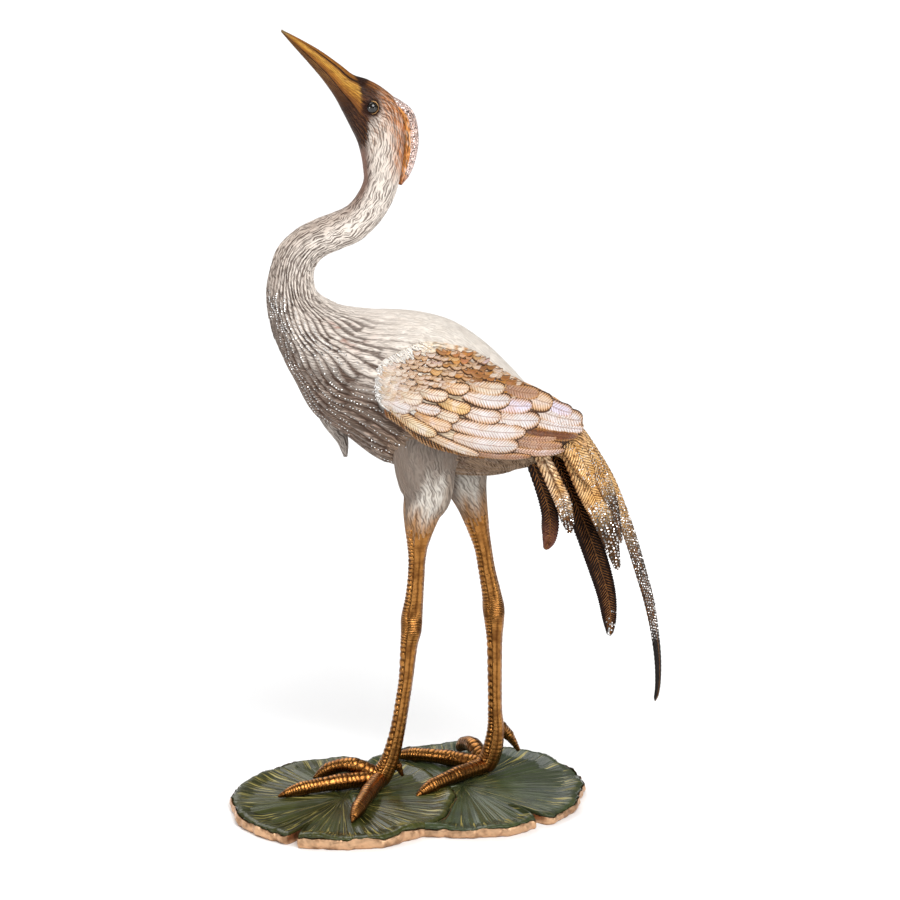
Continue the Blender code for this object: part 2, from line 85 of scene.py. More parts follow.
# Legs from inside the body to the ankle: along, up, across, half depth, half width
LEFT_LEG = [
    (34, 520, -34, 40, 22), (26, 476, -35, 47, 31), (22, 437, -34, 39, 28), (24, 402, -33, 32, 22),
    (17, 375, -32, 23.5, 16), (12.5, 341, -31, 15, 12), (11, 316, -30, 11, 9.5), (9.5, 287, -29, 10.5, 9),
    (7, 258, -28, 11.5, 10), (4, 234, -28, 13.5, 12), (3, 215, -28, 13, 11.5), (0, 194, -27, 10.8, 9),
    (-4, 149, -26, 9, 8.5), (-9, 114, -25, 9, 8.5), (-16, 73, -25, 9.5, 9), (-25, 36, -24, 11.5, 11),
    (-34, 16, -24, 13, 13), (-38, 4, -24, 11, 12),
]
RIGHT_LEG = [
    (66, 515, 34, 36, 22), (62, 474, 34, 46, 30), (68, 430, 34, 37, 27), (75, 396, 33, 27, 20),
    (84, 364, 32, 18.5, 15), (91, 335, 31, 13.8, 12), (97, 310, 30, 11, 9.5), (102, 280, 30, 10.8, 9.5),
    (108, 249, 30, 12.2, 11), (111, 228, 30, 14, 12), (112, 210, 30, 12.8, 11), (112.5, 182, 30, 10, 9),
    (113, 127, 30, 9, 8.5), (113.5, 84, 30, 9, 8.5), (114.5, 56, 30, 11, 10), (110, 26, 30, 13, 12.5),
    (103, 8, 30, 13, 13), (101, 0, 30, 10, 11),
]
# Toes: root, heading in degrees from +X, reach, arch. Hind toes: root, tip, half width
LEFT_TOES = [(200, 142, 3), (256, 142, 3), (168, 92, 16)]
RIGHT_TOES = [(157, 136, 4), (226, 132, 3), (114, 92, 16)]
TOE_SHAPE = [(0, 11.5), (0.22, 10.6), (0.45, 9.9), (0.66, 9.2), (0.82, 8.2), (0.93, 5.0), (1, 1.3)]
LEFT_HIND_TOE = ((-24, -23, 34), (-9, -16, 8), 7.0)
RIGHT_HIND_TOE = ((111, 31, 64), (146, 52, 18), 9.0)
RIGHT_GROUND = -2.8
THIGH_END = 338

# Wing sections from shoulder to tip: along, up at its upper and lower edge, then how far out
# from the middle plane at half height, at the upper edge and at the lower edge
WING = [
    (-44, 564, 550, 66, 63, 67), (-34, 586, 527, 77, 67, 76), (-9, 600, 509, 86, 62, 83),
    (25, 610, 484, 89, 50, 85), (79, 597, 469, 87, 37, 83), (110, 575, 465, 81, 28, 77),
    (143, 552, 461, 70, 19, 66), (170, 538, 458, 58, 15, 54), (192, 524, 464, 46, 13, 43),
    (210, 509, 474, 35, 12, 31), (226, 496, 482, 24, 13, 21),
]
RIGHT_WING_DROP = 38

# Wing feathers from the lowest row up: root (along, up), tip (along, up), half width, finish
FEATHERS = [
    (8, 508, 92, 470, 7, "cream"), (58, 479, 158, 463, 6, "brown"), (128, 476, 200, 464, 7, "pink"),
    (120, 490, 197, 472, 7.5, "brown"), (56, 495, 141, 480, 12.5, "white"), (-22, 532, 38, 498, 10, "comb"),
    (46, 516, 150, 495, 12, "white"), (88, 525, 168, 505, 12, "white"), (92, 541, 158, 521, 10, "lilac"),
    (150, 511, 224, 487, 8, "white"), (154, 523, 223, 494, 11, "white"), (126, 549, 184, 518, 11, "peach"),
    (162, 533, 209, 504, 8.5, "lilac"), (8, 525, 57, 508, 10, "peach"), (2, 540, 43, 529, 8, "white"),
    (28, 532, 66, 519, 8.5, "cream"), (36, 545, 80, 529, 9, "gold"), (66, 532, 118, 516, 10, "white"),
    (68, 550, 130, 532, 10, "white"), (72, 563, 122, 545, 9, "cream"), (-16, 552, 20, 543, 8.5, "cream"),
    (8, 557, 52, 546, 8.5, "cream"), (40, 562, 78, 553, 8, "peach"), (112, 553, 167, 531, 8.5, "brown"),
    (-30, 545, 4, 530, 8, "white"), (142, 500, 217, 481, 8, "umber"), (132, 492, 190, 483, 6, "brown"),
]
FEATHER_RISE = 4.0
FACE_ROWS = 0.62

# Tail plumes, near side: centre line and half width (along, up, half width) from root to tip,
# across at the root and at the tip, the way the face looks, whether the far side has its twin, finish
PLUMES = [
    ([(156, 452, 9), (171, 412, 10), (180, 385, 11), (184, 361, 11), (182, 339, 9), (177, 326, 3)],
     -14, -30, (-0.2, -0.95, 0.2), True, "dark to rust"),
    ([(168, 458, 10), (188, 416, 11), (199, 392, 11), (205, 370, 9), (208, 354, 3)],
     -24, -50, (0.3, -0.9, 0.25), True, "gold to dark"),
    ([(184, 452, 11), (207, 400, 14), (230, 346, 16.5), (246, 300, 16), (258, 258, 14), (263, 222, 10.5),
      (264, 197, 4)], -2, 3, (0.45, -0.9, 0.1), False, "dark"),
    ([(202, 470, 13), (231, 411, 17.5), (248, 375, 15.5), (261, 340, 11.5), (271, 302, 4)],
     -20, -42, (0.35, -0.9, 0.3), True, "gold"),
    ([(218, 478, 9), (247, 424, 13), (263, 382, 12), (275, 332, 4.5)],
     -10, -22, (0.65, -0.7, 0.35), True, "gold"),
    ([(216, 484, 10), (238, 446, 14), (259, 408, 15), (277, 366, 13.5), (291, 326, 13), (303, 286, 12),
      (314, 247, 11), (322, 206, 9), (327, 165, 7.5), (327.5, 130, 6), (324.5, 107, 4)],
     0, 0, (0.75, -0.57, 0.35), False, "gold to black"),
    ([(190, 492, 12), (212, 462, 16), (228, 434, 14), (238, 412, 4)],
     -20, -34, (0.45, -0.8, 0.4), True, "bright"),
]
TAIL_ROOT = [
    (160, 498, 36, 34), (188, 480, 32, 31), (210, 460, 24, 25), (226, 440, 15, 16), (236, 422, 5, 6),
]

# Crest on the back of the head, and tufts that hang from the breast: along, up, half depth, half width
CREST = [
    (-22, 913, 2, 4), (-12, 903, 6, 9), (0, 888, 9, 12), (4, 862, 10, 14), (2, 838, 9, 12), (-3, 818, 7, 9),
    (-10, 800, 2, 3),
]
TUFT = [(-112, 530, 20, 9), (-99, 492, 12.5, 9), (-86, 467, 8, 7), (-81, 442, 2, 2)]
SHORT_TUFT = [(-98, 515, 16, 9), (-80, 488, 9, 7), (-70, 474, 2.5, 2.5)]
EYE_PLACE = (-43.5, 903)

# Pads: middle, radius, height and the notch's angle
PADS = {
    "left": ((-0.0464, -0.0160), 0.0790, 0.0085, math.radians(245)),
    "right": ((0.0381, 0.0120), 0.0860, 0.0070, math.radians(311)),
}
RIM_RISE = 0.0018
RIM_WAVE = 0.0010
PLEATS = 64
PLEAT_DEPTH = 0.0016
UPPER_ROWS = 0.84
# How each pad tones the leaf's colour, and the lighter colour of its pleats' crests, which is painted light
PAD_TINTS = {
    "left": ((0.75, 0.60, 0.22), (0.130, 0.115, 0.034)),
    "right": ((0.80, 1.0, 0.95), (0.125, 0.130, 0.075)),
}

# The gape's angle from the bill's ridge, and the barbs' pitch in centimetres and their slant
MOUTH = 107
FEATHER_PITCH = 0.20
FEATHER_SLANT = 0.9
PLUME_PITCH = 0.23
PLUME_SLANT = 0.85

# Feather finishes that aren't in the panel
FINISHES = {
    "white": (0.645, 0.59, 0.565), "cream": (0.68, 0.56, 0.42), "gold": (0.70, 0.47, 0.22),
    "honey": (0.60, 0.26, 0.05), "snow": (0.80, 0.745, 0.67), "bark": (0.24, 0.085, 0.026),
    "brown": (0.44, 0.26, 0.17), "umber": (0.12, 0.040, 0.014), "lilac": (0.68, 0.62, 0.72),
    "comb": (0.70, 0.58, 0.40),
}

# Rounds in which a lock's swing is solved for its angle
SWING_STEPS = 12
# Spacing of the plumes' stones, in radii of a stone
STONE_PITCH = 2.95
# Stones on each plume: first and last share of its length, reach across, share kept, size
PLUME_STONES = {
    1: (0.45, 1.0, 0.95, 0.75, 0.95), 2: (0.78, 1.0, 0.9, 0.45, 1.15), 3: (0.40, 1.0, 0.95, 0.92, 1.15),
    4: (0.15, 1.0, 0.95, 0.7, 0.9), 5: (0.24, 0.73, 0.95, 0.95, 0.90), 6: (0.2, 1.0, 0.9, 0.25, 0.8),
}

# Lamps: name, kind, place, the sun's angle or the box's size, power
LAMPS = (
    ("key", "SUN", (0.50, -1.05, 1.55), 0.70, 3.1), ("left box", "AREA", (-1.3, -0.9, 0.6), 0.45, 8.5),
    ("right box", "AREA", (1.3, -1.1, 0.5), 0.35, 5), ("rim", "SUN", (-0.7, 1.2, 1.7), 0.9, 1.7),
)
LAMP_AIM = Vector((0.02, 0.02, 0.26))
SKY_LIGHT = 0.22
CAMERA_PLACE = (0.029, -2.3, 0.906)
CAMERA_DOWN = 15.714
CAMERA_LENS = 138.17

NUMBER = "NodeSocketFloat"
VECTOR = "NodeSocketVector"


def colour_prop(name, description, value):
    return FloatVectorProperty(name=name, description=description, subtype="COLOR", default=value)


def length_prop(name, description, value):
    return FloatProperty(name=name, description=description, unit="LENGTH", default=value)


class CraneColours(bpy.types.PropertyGroup):
    """The enamels and gildings"""

    pearl: colour_prop("Pearl", "Neck and mantle", (0.67, 0.59, 0.52))
    cream: colour_prop("Cream", "Wing shoulder", (0.72, 0.56, 0.38))
    peach: colour_prop("Peach", "Warm feathers", (0.70, 0.44, 0.24))
    pink: colour_prop("Pink", "Lower feathers", (0.62, 0.44, 0.37))
    taupe: colour_prop("Taupe", "Breast", (0.072, 0.049, 0.036))
    beige: colour_prop("Beige", "Belly", (0.30, 0.20, 0.125))
    amber: colour_prop("Amber", "Upper wing behind the shoulder", (0.46, 0.17, 0.022))
    rust: colour_prop("Rust", "Crest's end, feathers' specks", (0.44, 0.13, 0.035))
    umber: colour_prop("Umber", "Face and lines", (0.018, 0.0065, 0.0035))
    leaf: colour_prop("Leaf", "Pads", (0.019, 0.025, 0.012))
    gilt: colour_prop("Gilt", "Legs", (0.40, 0.18, 0.048))
    rim_gilt: colour_prop("Rim gilt", "Pad edges", (0.70, 0.43, 0.25))


class CraneSizes(bpy.types.PropertyGroup):
    """Relief and stones"""

    lock_depth: length_prop("Lock depth", "Height of the breast's locks", 0.0021)
    scute_pitch: length_prop("Scute pitch", "Bands on legs and toes", 0.0031)
    stone: length_prop("Stone", "Diameter of a set stone", 0.0019)
    lock_count: IntProperty(name="Locks", description="Locks round the breast", default=44, min=8)


def colours():
    return bpy.context.scene.crane_colours


def sizes():
    return bpy.context.scene.crane_sizes


def on_figure(points):
    """World places of points given in thousandths of the crane's height."""
    return np.asarray(points, float) * SHARE + np.array([0, MIDDLE, SOLE])


def through(rows, count):
    """Rows of numbers read from a smooth curve through the given rows, count of them."""
    rows = np.asarray(rows, float)
    padded = np.vstack([2 * rows[0] - rows[1], rows, 2 * rows[-1] - rows[-2]])
    at = np.linspace(0, len(rows) - 1, count)
    k = np.minimum(at.astype(int), len(rows) - 2)
    f = (at - k)[:, None]
    a, b, c, d = (padded[k + i] for i in range(4))
    return 0.5 * (2 * b + (c - a) * f + (2 * a - 5 * b + 4 * c - d) * f**2 + (3 * b - 3 * c + d - a) * f**3)


def read(curve, at):
    """Rows of a curve at places from 0 to 1."""
    steps = np.linspace(0, 1, len(curve))
    return np.stack([np.interp(at, steps, curve[:, i]) for i in range(curve.shape[1])], -1)


def unit(vectors):
    return vectors / np.maximum(np.linalg.norm(vectors, axis=-1, keepdims=True), 1e-9)


def smooth(low, high, value):
    """0 below low, 1 above high, an even rise between; low may be the larger."""
    t = np.clip((value - low) / (high - low), 0, 1)
    return t * t * (3 - 2 * t)


def hill(middle, reach, value):
    """1 at the middle, falling to 0 at reach on both sides."""
    return 1 - smooth(0, reach, np.abs(value - middle))


def coat(count, colour):
    """The same colour for every point."""
    return np.tile(np.asarray(colour[:3], float), (count, 1))


def paint(base, *layers):
    """The base's colours under layers, each a mask from 0 to 1 and a colour."""
    for mask, colour in layers:
        mask = np.clip(mask, 0, 1)[:, None]
        base = base * (1 - mask) + np.asarray(colour, float)[..., :3] * mask
    return base


def noise(*ways):
    """A soft unevenness from -1 to 1 over any number of coordinates, made of a few crossed waves."""
    ways = np.stack(np.broadcast_arrays(*ways), -1)
    turns = np.array([[1.0, 0.7, 0.4], [-0.8, 1.3, 0.9], [0.5, -1.6, 1.4], [2.1, 0.9, -1.8]])
    turns = turns[:, : ways.shape[-1]]
    return sum(np.sin(ways @ k * (1 + 0.37 * i) + 1.9 * i) for i, k in enumerate(turns)) / 4


# Meshes


def deselect():
    bpy.ops.object.select_all(action="DESELECT")


def vertices_of(mesh):
    flat = np.empty(len(mesh.vertices) * 3, np.float32)
    mesh.vertices.foreach_get("co", flat)
    return flat.reshape(-1, 3).astype(float)


def dress(mesh, points=None, flow=None, tint=None, edge=None):
    """Gives a mesh its points, UV map in centimetres, colours with line strength, and rim distance."""
    if points is not None:
        mesh.vertices.foreach_set("co", np.asarray(points, np.float32).ravel())
    if flow is not None:
        layer = mesh.uv_layers.get("UVMap") or mesh.uv_layers.new(name="UVMap")
        index = np.empty(len(mesh.loops), np.int32)
        mesh.loops.foreach_get("vertex_index", index)
        layer.data.foreach_set("uv", np.asarray(flow, np.float32)[index].ravel())
    if tint is not None:
        layer = mesh.color_attributes.new("tint", "FLOAT_COLOR", "POINT")
        layer.data.foreach_set("color", np.asarray(tint, np.float32).ravel())
    if edge is not None:
        layer = mesh.attributes.new("edge", "FLOAT", "POINT")
        layer.data.foreach_set("value", np.asarray(edge, np.float32))
    mesh.update()


def close(piece):
    """Merges the points of a skin's seam and ends that meet, and turns its faces outwards."""
    bpy.context.view_layer.objects.active = piece
    piece.select_set(True)
    bpy.ops.object.mode_set(mode="EDIT")
    bpy.ops.mesh.select_all(action="SELECT")
    bpy.ops.mesh.remove_doubles(threshold=2e-6)
    bpy.ops.mesh.normals_make_consistent(inside=False)
    bpy.ops.object.mode_set(mode="OBJECT")
    bpy.ops.object.shade_smooth()


def grid(name, long, round_):
    """A flat grid and the two coordinates, from 0 to 1, of its points."""
    deselect()
    bpy.ops.mesh.primitive_grid_add(x_subdivisions=long, y_subdivisions=round_, size=1)
    piece = bpy.context.object
    piece.name = piece.data.name = name
    flat = vertices_of(piece.data)
    return piece, flat[:, 0] + 0.5, flat[:, 1] + 0.5


def finish(piece, surface, replaces=()):
    piece.data.materials.clear()
    piece.data.materials.append(surface)
    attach(piece, "root")
    if replaces:
        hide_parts(*replaces)
    return piece


def pattern(long, round_):
    """The faces of a closed skin, and the coordinates along and round of each of its points."""
    piece, u, v = grid("pattern", long, round_)
    turn = 2 * math.pi * v
    end = np.sin(math.pi * u)
    points = np.stack([u - 0.5, end * np.cos(turn), end * np.sin(turn)], 1)
    dress(piece.data, points=points)
    close(piece)
    flat = vertices_of(piece.data)
    faces = [tuple(p.vertices) for p in piece.data.polygons]
    along = flat[:, 0] + 0.5
    around = np.arctan2(flat[:, 2], flat[:, 1]) / (2 * math.pi) % 1
    bpy.data.objects.remove(piece)
    return faces, along, around


def copies(name, faces, sets):
    """One piece made of copies of the same faces; each set holds a copy's points, flow, tint and edge."""
    count = len(sets[0][0])
    mesh = bpy.data.meshes.new(name)
    every = [tuple(i + k * count for i in face) for k in range(len(sets)) for face in faces]
    points, flow, tint, edge = (np.concatenate([s[i] for s in sets]) for i in range(4))
    mesh.from_pydata(points.tolist(), [], every)
    dress(mesh, flow=flow, tint=tint, edge=edge)
    piece = bpy.data.objects.new(name, mesh)
    bpy.context.scene.collection.objects.link(piece)
    mesh.shade_smooth()
    return piece


# Materials


def add(tree, kind, inputs=None, **settings):
    """A node with its settings and its inputs, each a value or another node's socket."""
    made = tree.nodes.new(kind)
    for name, value in settings.items():
        setattr(made, name, value)
    for name, value in (inputs or {}).items():
        if isinstance(value, bpy.types.NodeSocket):
            tree.links.new(value, made.inputs[name])
        else:
            made.inputs[name].default_value = value
    return made


def maths(tree, operation, a, b=0.0):
    return add(tree, "ShaderNodeMath", {0: a, 1: b}, operation=operation).outputs[0]


def ramp(tree, value, low, high, to_low=0.0, to_high=1.0):
    inputs = {"Value": value, "From Min": low, "From Max": high, "To Min": to_low, "To Max": to_high}
    return add(tree, "ShaderNodeMapRange", inputs, interpolation_type="SMOOTHSTEP").outputs[0]


def mix(tree, factor, a, b, blend_type="MIX"):
    made = add(tree, "ShaderNodeMix", data_type="RGBA", blend_type=blend_type)
    for name, value in ((0, factor), (6, a), (7, b)):
        if isinstance(value, bpy.types.NodeSocket):
            tree.links.new(value, made.inputs[name])
        else:
            made.inputs[name].default_value = value if name == 0 else (*value[:3], 1)
    return made.outputs[2]


def times(tree, a, b):
    return maths(tree, "MULTIPLY", a, b)


def toned(tree, colour, tone):
    return mix(tree, 1.0, colour, tone, "MULTIPLY")


def noise_on(tree, vector, scale, detail):
    inputs = {"Vector": vector, "Scale": scale, "Detail": detail}
    return add(tree, "ShaderNodeTexNoise", inputs)


def cloudy(tree, scale, detail=2.0):
    """Noise over the piece's own place, its scale per metre."""
    place = add(tree, "ShaderNodeTexCoord").outputs["Object"]
    return noise_on(tree, place, scale, detail).outputs["Fac"]


def uv_flow(tree):
    return add(tree, "ShaderNodeUVMap", uv_map="UVMap").outputs[0]


def attribute(tree, name):
    return add(tree, "ShaderNodeAttribute", attribute_name=name).outputs


def red_of(tree, colour):
    return add(tree, "ShaderNodeSeparateColor", {0: colour}).outputs[0]


def split(tree, vector):
    return add(tree, "ShaderNodeSeparateXYZ", {0: vector}).outputs


def joined(tree, x, y, z=0.0):
    return add(tree, "ShaderNodeCombineXYZ", {0: x, 1: y, 2: z}).outputs[0]


def new_group(name, inputs, outputs):
    """A shader node group with its named sockets; its input and output nodes come with it."""
    tree = bpy.data.node_groups.new(name, "ShaderNodeTree")
    for socket, kind, default in inputs:
        made = tree.interface.new_socket(socket, in_out="INPUT", socket_type=kind)
        if default is not None:
            made.default_value = default
    for socket, kind in outputs:
        tree.interface.new_socket(socket, in_out="OUTPUT", socket_type=kind)
    return tree, tree.nodes.new("NodeGroupInput").outputs, tree.nodes.new("NodeGroupOutput").inputs


def strokes_group():
    """Short engraved strokes in lanes along the UV map's first way, as on plumage."""
    found = bpy.data.node_groups.get("engraved strokes")
    if found:
        return found
    sockets = [("Flow", VECTOR, None), ("Length", NUMBER, 0.5), ("Pitch", NUMBER, 0.25)]
    tree, given, out = new_group("engraved strokes", sockets, [("Line", NUMBER), ("Height", NUMBER)])
    parts = split(tree, given["Flow"])
    bend = noise_on(tree, given["Flow"], 1.3, 1.0).outputs["Fac"]
    across = maths(tree, "ADD", parts[1], times(tree, bend, 0.55))
    sets = []
    for finer, shift, strength in ((1.0, 0.0, 1.0), (1.7, 0.4, 0.7)):
        pitch = maths(tree, "DIVIDE", given["Pitch"], finer)
        lane = maths(tree, "ADD", maths(tree, "DIVIDE", across, pitch), shift)
        middle = maths(tree, "ROUND", lane)
        off = maths(tree, "ABSOLUTE", maths(tree, "SUBTRACT", lane, middle))
        along = times(tree, maths(tree, "DIVIDE", parts[0], given["Length"]), finer)
        place = joined(tree, along, times(tree, middle, 7.3), shift * 9)
        run = noise_on(tree, place, 1.0, 1.0).outputs["Fac"]
        cut = ramp(tree, run, 0.42, 0.56, 0.0, strength)
        sets.append(times(tree, cut, ramp(tree, off, 0.10, 0.27, 1.0, 0.0)))
    both = maths(tree, "MAXIMUM", *sets)
    tree.links.new(both, out["Line"])
    tree.links.new(maths(tree, "SUBTRACT", 1.0, both), out["Height"])
    return tree


def barbs_group():
    """A feather's barbs: slanting fine lines from its shaft, from a UV map across and along it."""
    found = bpy.data.node_groups.get("feather barbs")
    if found:
        return found
    sockets = [("Flow", VECTOR, None), ("Pitch", NUMBER, 0.12), ("Slant", NUMBER, 0.9)]
    tree, given, out = new_group("feather barbs", sockets, [("Line", NUMBER), ("Shaft", NUMBER)])
    parts = split(tree, given["Flow"])
    beside = maths(tree, "ABSOLUTE", parts[0])
    uneven = noise_on(tree, given["Flow"], 3.0, 2.0).outputs["Fac"]
    slid = maths(tree, "SUBTRACT", parts[1], times(tree, beside, given["Slant"]))
    slid = maths(tree, "ADD", slid, times(tree, uneven, 0.10))
    turns = maths(tree, "DIVIDE", slid, given["Pitch"])
    wave = maths(tree, "SINE", times(tree, turns, 2 * math.pi))
    tree.links.new(ramp(tree, wave, 0.1, 0.9), out["Line"])
    tree.links.new(ramp(tree, beside, 0.02, 0.05, 1.0, 0.0), out["Shaft"])
    return tree


def material(name):
    made = bpy.data.materials.get(name)
    if made:
        return made, None, None
    made = bpy.data.materials.new(name)
    made.use_nodes = True
    return made, made.node_tree, made.node_tree.nodes["Principled BSDF"]


def set_on(shader, **values):
    for name, value in values.items():
        shader.inputs[name.replace("_", " ")].default_value = value


def link(tree, socket, shader, name):
    tree.links.new(socket, shader.inputs[name])


def bump(tree, shader, height, strength, distance):
    made = add(tree, "ShaderNodeBump", {"Height": height, "Strength": strength, "Distance": distance})
    link(tree, made.outputs[0], shader, "Normal")


def place_group(tree, group, **inputs):
    made = tree.nodes.new("ShaderNodeGroup")
    made.node_tree = group
    for name, value in inputs.items():
        if isinstance(value, bpy.types.NodeSocket):
            tree.links.new(value, made.inputs[name])
        else:
            made.inputs[name].default_value = value
    return made.outputs


def plumage_enamel():
    """Pearl enamel over engraved plumage; the tint's alpha says how strongly the lines are inked."""
    made, tree, shader = material("pearl enamel")
    if not tree:
        return made
    tint = attribute(tree, "tint")
    colour = tint["Color"]
    strokes = place_group(tree, strokes_group(), Flow=uv_flow(tree), Length=0.85, Pitch=0.215)
    dark = toned(tree, colour, (0.085, 0.050, 0.036))
    light = toned(tree, colour, (3.2, 3.3, 3.4))
    line = mix(tree, ramp(tree, red_of(tree, colour), 0.13, 0.24), light, dark)
    wear_and_shade = ramp(tree, cloudy(tree, 160.0, 3.0), 0.35, 0.7, 0.0, 0.16)
    washed = mix(tree, wear_and_shade, colour, (0.62, 0.52, 0.44), "MULTIPLY")
    ink = times(tree, strokes["Line"], tint["Alpha"])
    link(tree, mix(tree, ink, washed, line), shader, "Base Color")
    link(tree, ramp(tree, strokes["Line"], 0.0, 1.0, 0.38, 0.55), shader, "Roughness")
    set_on(shader, Specular_IOR_Level=0.09)
    bump(tree, shader, strokes["Height"], 0.8, 0.0006)
    return made


def feather_enamel():
    """Enamel within each feather's rim: an inner colour, barbs, and a rim that goes from gold to umber."""
    made, tree, shader = material("feather enamel")
    if not tree:
        return made
    tint = attribute(tree, "tint")
    colour = tint["Color"]
    edge = attribute(tree, "edge")["Fac"]
    group = barbs_group()
    barbs = place_group(tree, group, Flow=uv_flow(tree), Pitch=FEATHER_PITCH, Slant=FEATHER_SLANT)
    hatch = times(tree, barbs["Line"], ramp(tree, edge, 0.8, 5.0, 0.95, 0.30))
    hatch = times(tree, hatch, tint["Alpha"])
    hatch = times(tree, hatch, ramp(tree, cloudy(tree, 150.0), 0.36, 0.56, 0.30, 1.0))
    warm = ramp(tree, cloudy(tree, 75.0), 0.50, 0.66, 0.0, 0.32)
    inner = mix(tree, warm, colour, toned(tree, colour, (1.05, 0.62, 0.26)))
    pale = ramp(tree, cloudy(tree, 118.0, 1.0), 0.50, 0.62, 0.0, 0.55)
    pale = times(tree, pale, ramp(tree, red_of(tree, colour), 0.35, 0.65, 0.1, 1.0))
    inner = mix(tree, pale, inner, mix(tree, 0.7, colour, (0.74, 0.68, 0.70)))
    speck = ramp(tree, cloudy(tree, 900.0), 0.58, 0.68, 0.0, 0.40)
    inner = mix(tree, speck, inner, colours().rust)
    inked = mix(tree, hatch, inner, (0.13, 0.050, 0.022))
    firm = ramp(tree, tint["Alpha"], 0.2, 0.7, 0.22, 1.0)
    toothed = maths(tree, "SUBTRACT", edge, times(tree, barbs["Line"], 0.7))
    glow = times(tree, firm, ramp(tree, toothed, 0.7, 2.7, 0.75, 0.0))
    rim = times(tree, firm, ramp(tree, toothed, 0.45, 1.1, 0.97, 0.0))
    rimmed = mix(tree, rim, mix(tree, glow, inked, (0.50, 0.235, 0.065)), (0.050, 0.017, 0.007))
    shafted = mix(tree, times(tree, barbs["Shaft"], 0.45), rimmed, (0.20, 0.08, 0.03))
    link(tree, shafted, shader, "Base Color")
    set_on(shader, Roughness=0.42, Specular_IOR_Level=0.25, Coat_Weight=0.05, Coat_Roughness=0.2)
    bump(tree, shader, maths(tree, "SUBTRACT", 1.0, times(tree, barbs["Line"], 0.8)), 0.8, 0.0006)
    return made


def plume_enamel():
    """Tail plumes: translucent enamel over gilding, with barbs drawn in a darker or lighter tone."""
    made, tree, shader = material("plume enamel")
    if not tree:
        return made
    tint = attribute(tree, "tint")
    colour = tint["Color"]
    group = barbs_group()
    barbs = place_group(tree, group, Flow=uv_flow(tree), Pitch=PLUME_PITCH, Slant=PLUME_SLANT)
    fleck = cloudy(tree, 420.0, 3.0)
    patchy = ramp(tree, cloudy(tree, 130.0), 0.34, 0.56, 0.35, 1.0)
    line = times(tree, times(tree, ramp(tree, barbs["Line"], 0.55, 1.0), patchy), tint["Alpha"])
    light = mix(tree, line, colour, (0.25, 0.10, 0.028))
    dark = mix(tree, line, colour, (0.075, 0.026, 0.009))
    drawn = mix(tree, ramp(tree, red_of(tree, colour), 0.10, 0.20), light, dark)
    shafted = mix(tree, times(tree, barbs["Shaft"], 0.8), drawn, (0.20, 0.085, 0.025))
    flecks = ramp(tree, fleck, 0.52, 0.64, 0.0, 0.8)
    link(tree, mix(tree, flecks, shafted, (0.30, 0.19, 0.13), "MULTIPLY"), shader, "Base Color")
    link(tree, ramp(tree, fleck, 0.35, 0.65, 0.24, 0.42), shader, "Roughness")
    set_on(shader, Metallic=0.25, Specular_IOR_Level=0.1)
    bump(tree, shader, barbs["Line"], 0.7, 0.0007)
    return made


def gilding(name, colour, roughness):
    """Antique gilding: bright on what stands out and brown in what lies low, by the tint."""
    made, tree, shader = material(name)
    if not tree:
        return made
    cloud = cloudy(tree, 120.0, 4.0)
    bright = toned(tree, attribute(tree, "tint")["Color"], colour)
    wear_and_shade = mix(tree, ramp(tree, cloud, 0.45, 0.66, 0.0, 0.60), bright, (0.11, 0.038, 0.010))
    link(tree, wear_and_shade, shader, "Base Color")
    link(tree, ramp(tree, cloud, 0.3, 0.7, roughness, roughness + 0.14), shader, "Roughness")
    set_on(shader, Metallic=1.0)
    bump(tree, shader, maths(tree, "ADD", cloudy(tree, 1400.0), cloud), 0.28, 0.0006)
    return made


def gild(piece):
    return finish(piece, gilding("antique gilding", colours().gilt, 0.19))


def pad_enamel():
    """Dark green gloss enamel with pale olive lines that fan out from the pad's middle."""
    made, tree, shader = material("leaf enamel")
    if not tree:
        return made
    tint = attribute(tree, "tint")
    colour = tint["Color"]
    parts = split(tree, uv_flow(tree))
    fan = joined(tree, times(tree, parts[0], 1.6), times(tree, parts[1], 0.06))
    rays = noise_on(tree, fan, 26.0, 3.0)
    rays.inputs["Roughness"].default_value = 0.6
    rays = rays.outputs["Fac"]
    lighter = toned(tree, colour, (1.35, 1.4, 1.2))
    base = mix(tree, ramp(tree, cloudy(tree, 45.0, 3.0), 0.38, 0.62), colour, lighter)
    strength = times(tree, ramp(tree, rays, 0.54, 0.62), tint["Alpha"])
    link(tree, mix(tree, strength, base, (0.30, 0.25, 0.070)), shader, "Base Color")
    set_on(shader, Roughness=0.25, Specular_IOR_Level=0.16, Coat_Weight=0.2, Coat_Roughness=0.06)
    bump(tree, shader, rays, 0.9, 0.0007)
    return made


def stone_glass(name, colour, metal=0.6):
    """A foiled cut stone: its facets flash like small mirrors, and its tint paints some stones dark and
    some bright as a painted reflection.
    """
    made, tree, shader = material(name)
    if not tree:
        return made
    link(tree, toned(tree, attribute(tree, "tint")["Color"], colour), shader, "Base Color")
    set_on(shader, Roughness=0.08, Metallic=metal, IOR=1.6, Coat_Weight=0.6, Coat_Roughness=0.02)
    return made


def jet_glass():
    made, tree, shader = material("jet glass")
    if tree:
        set_on(shader, Base_Color=(0.006, 0.004, 0.003, 1), Roughness=0.04, IOR=1.6)
    return made


# The bird


TRUNK_CURVE = through(TRUNK, CURVE_STEPS)


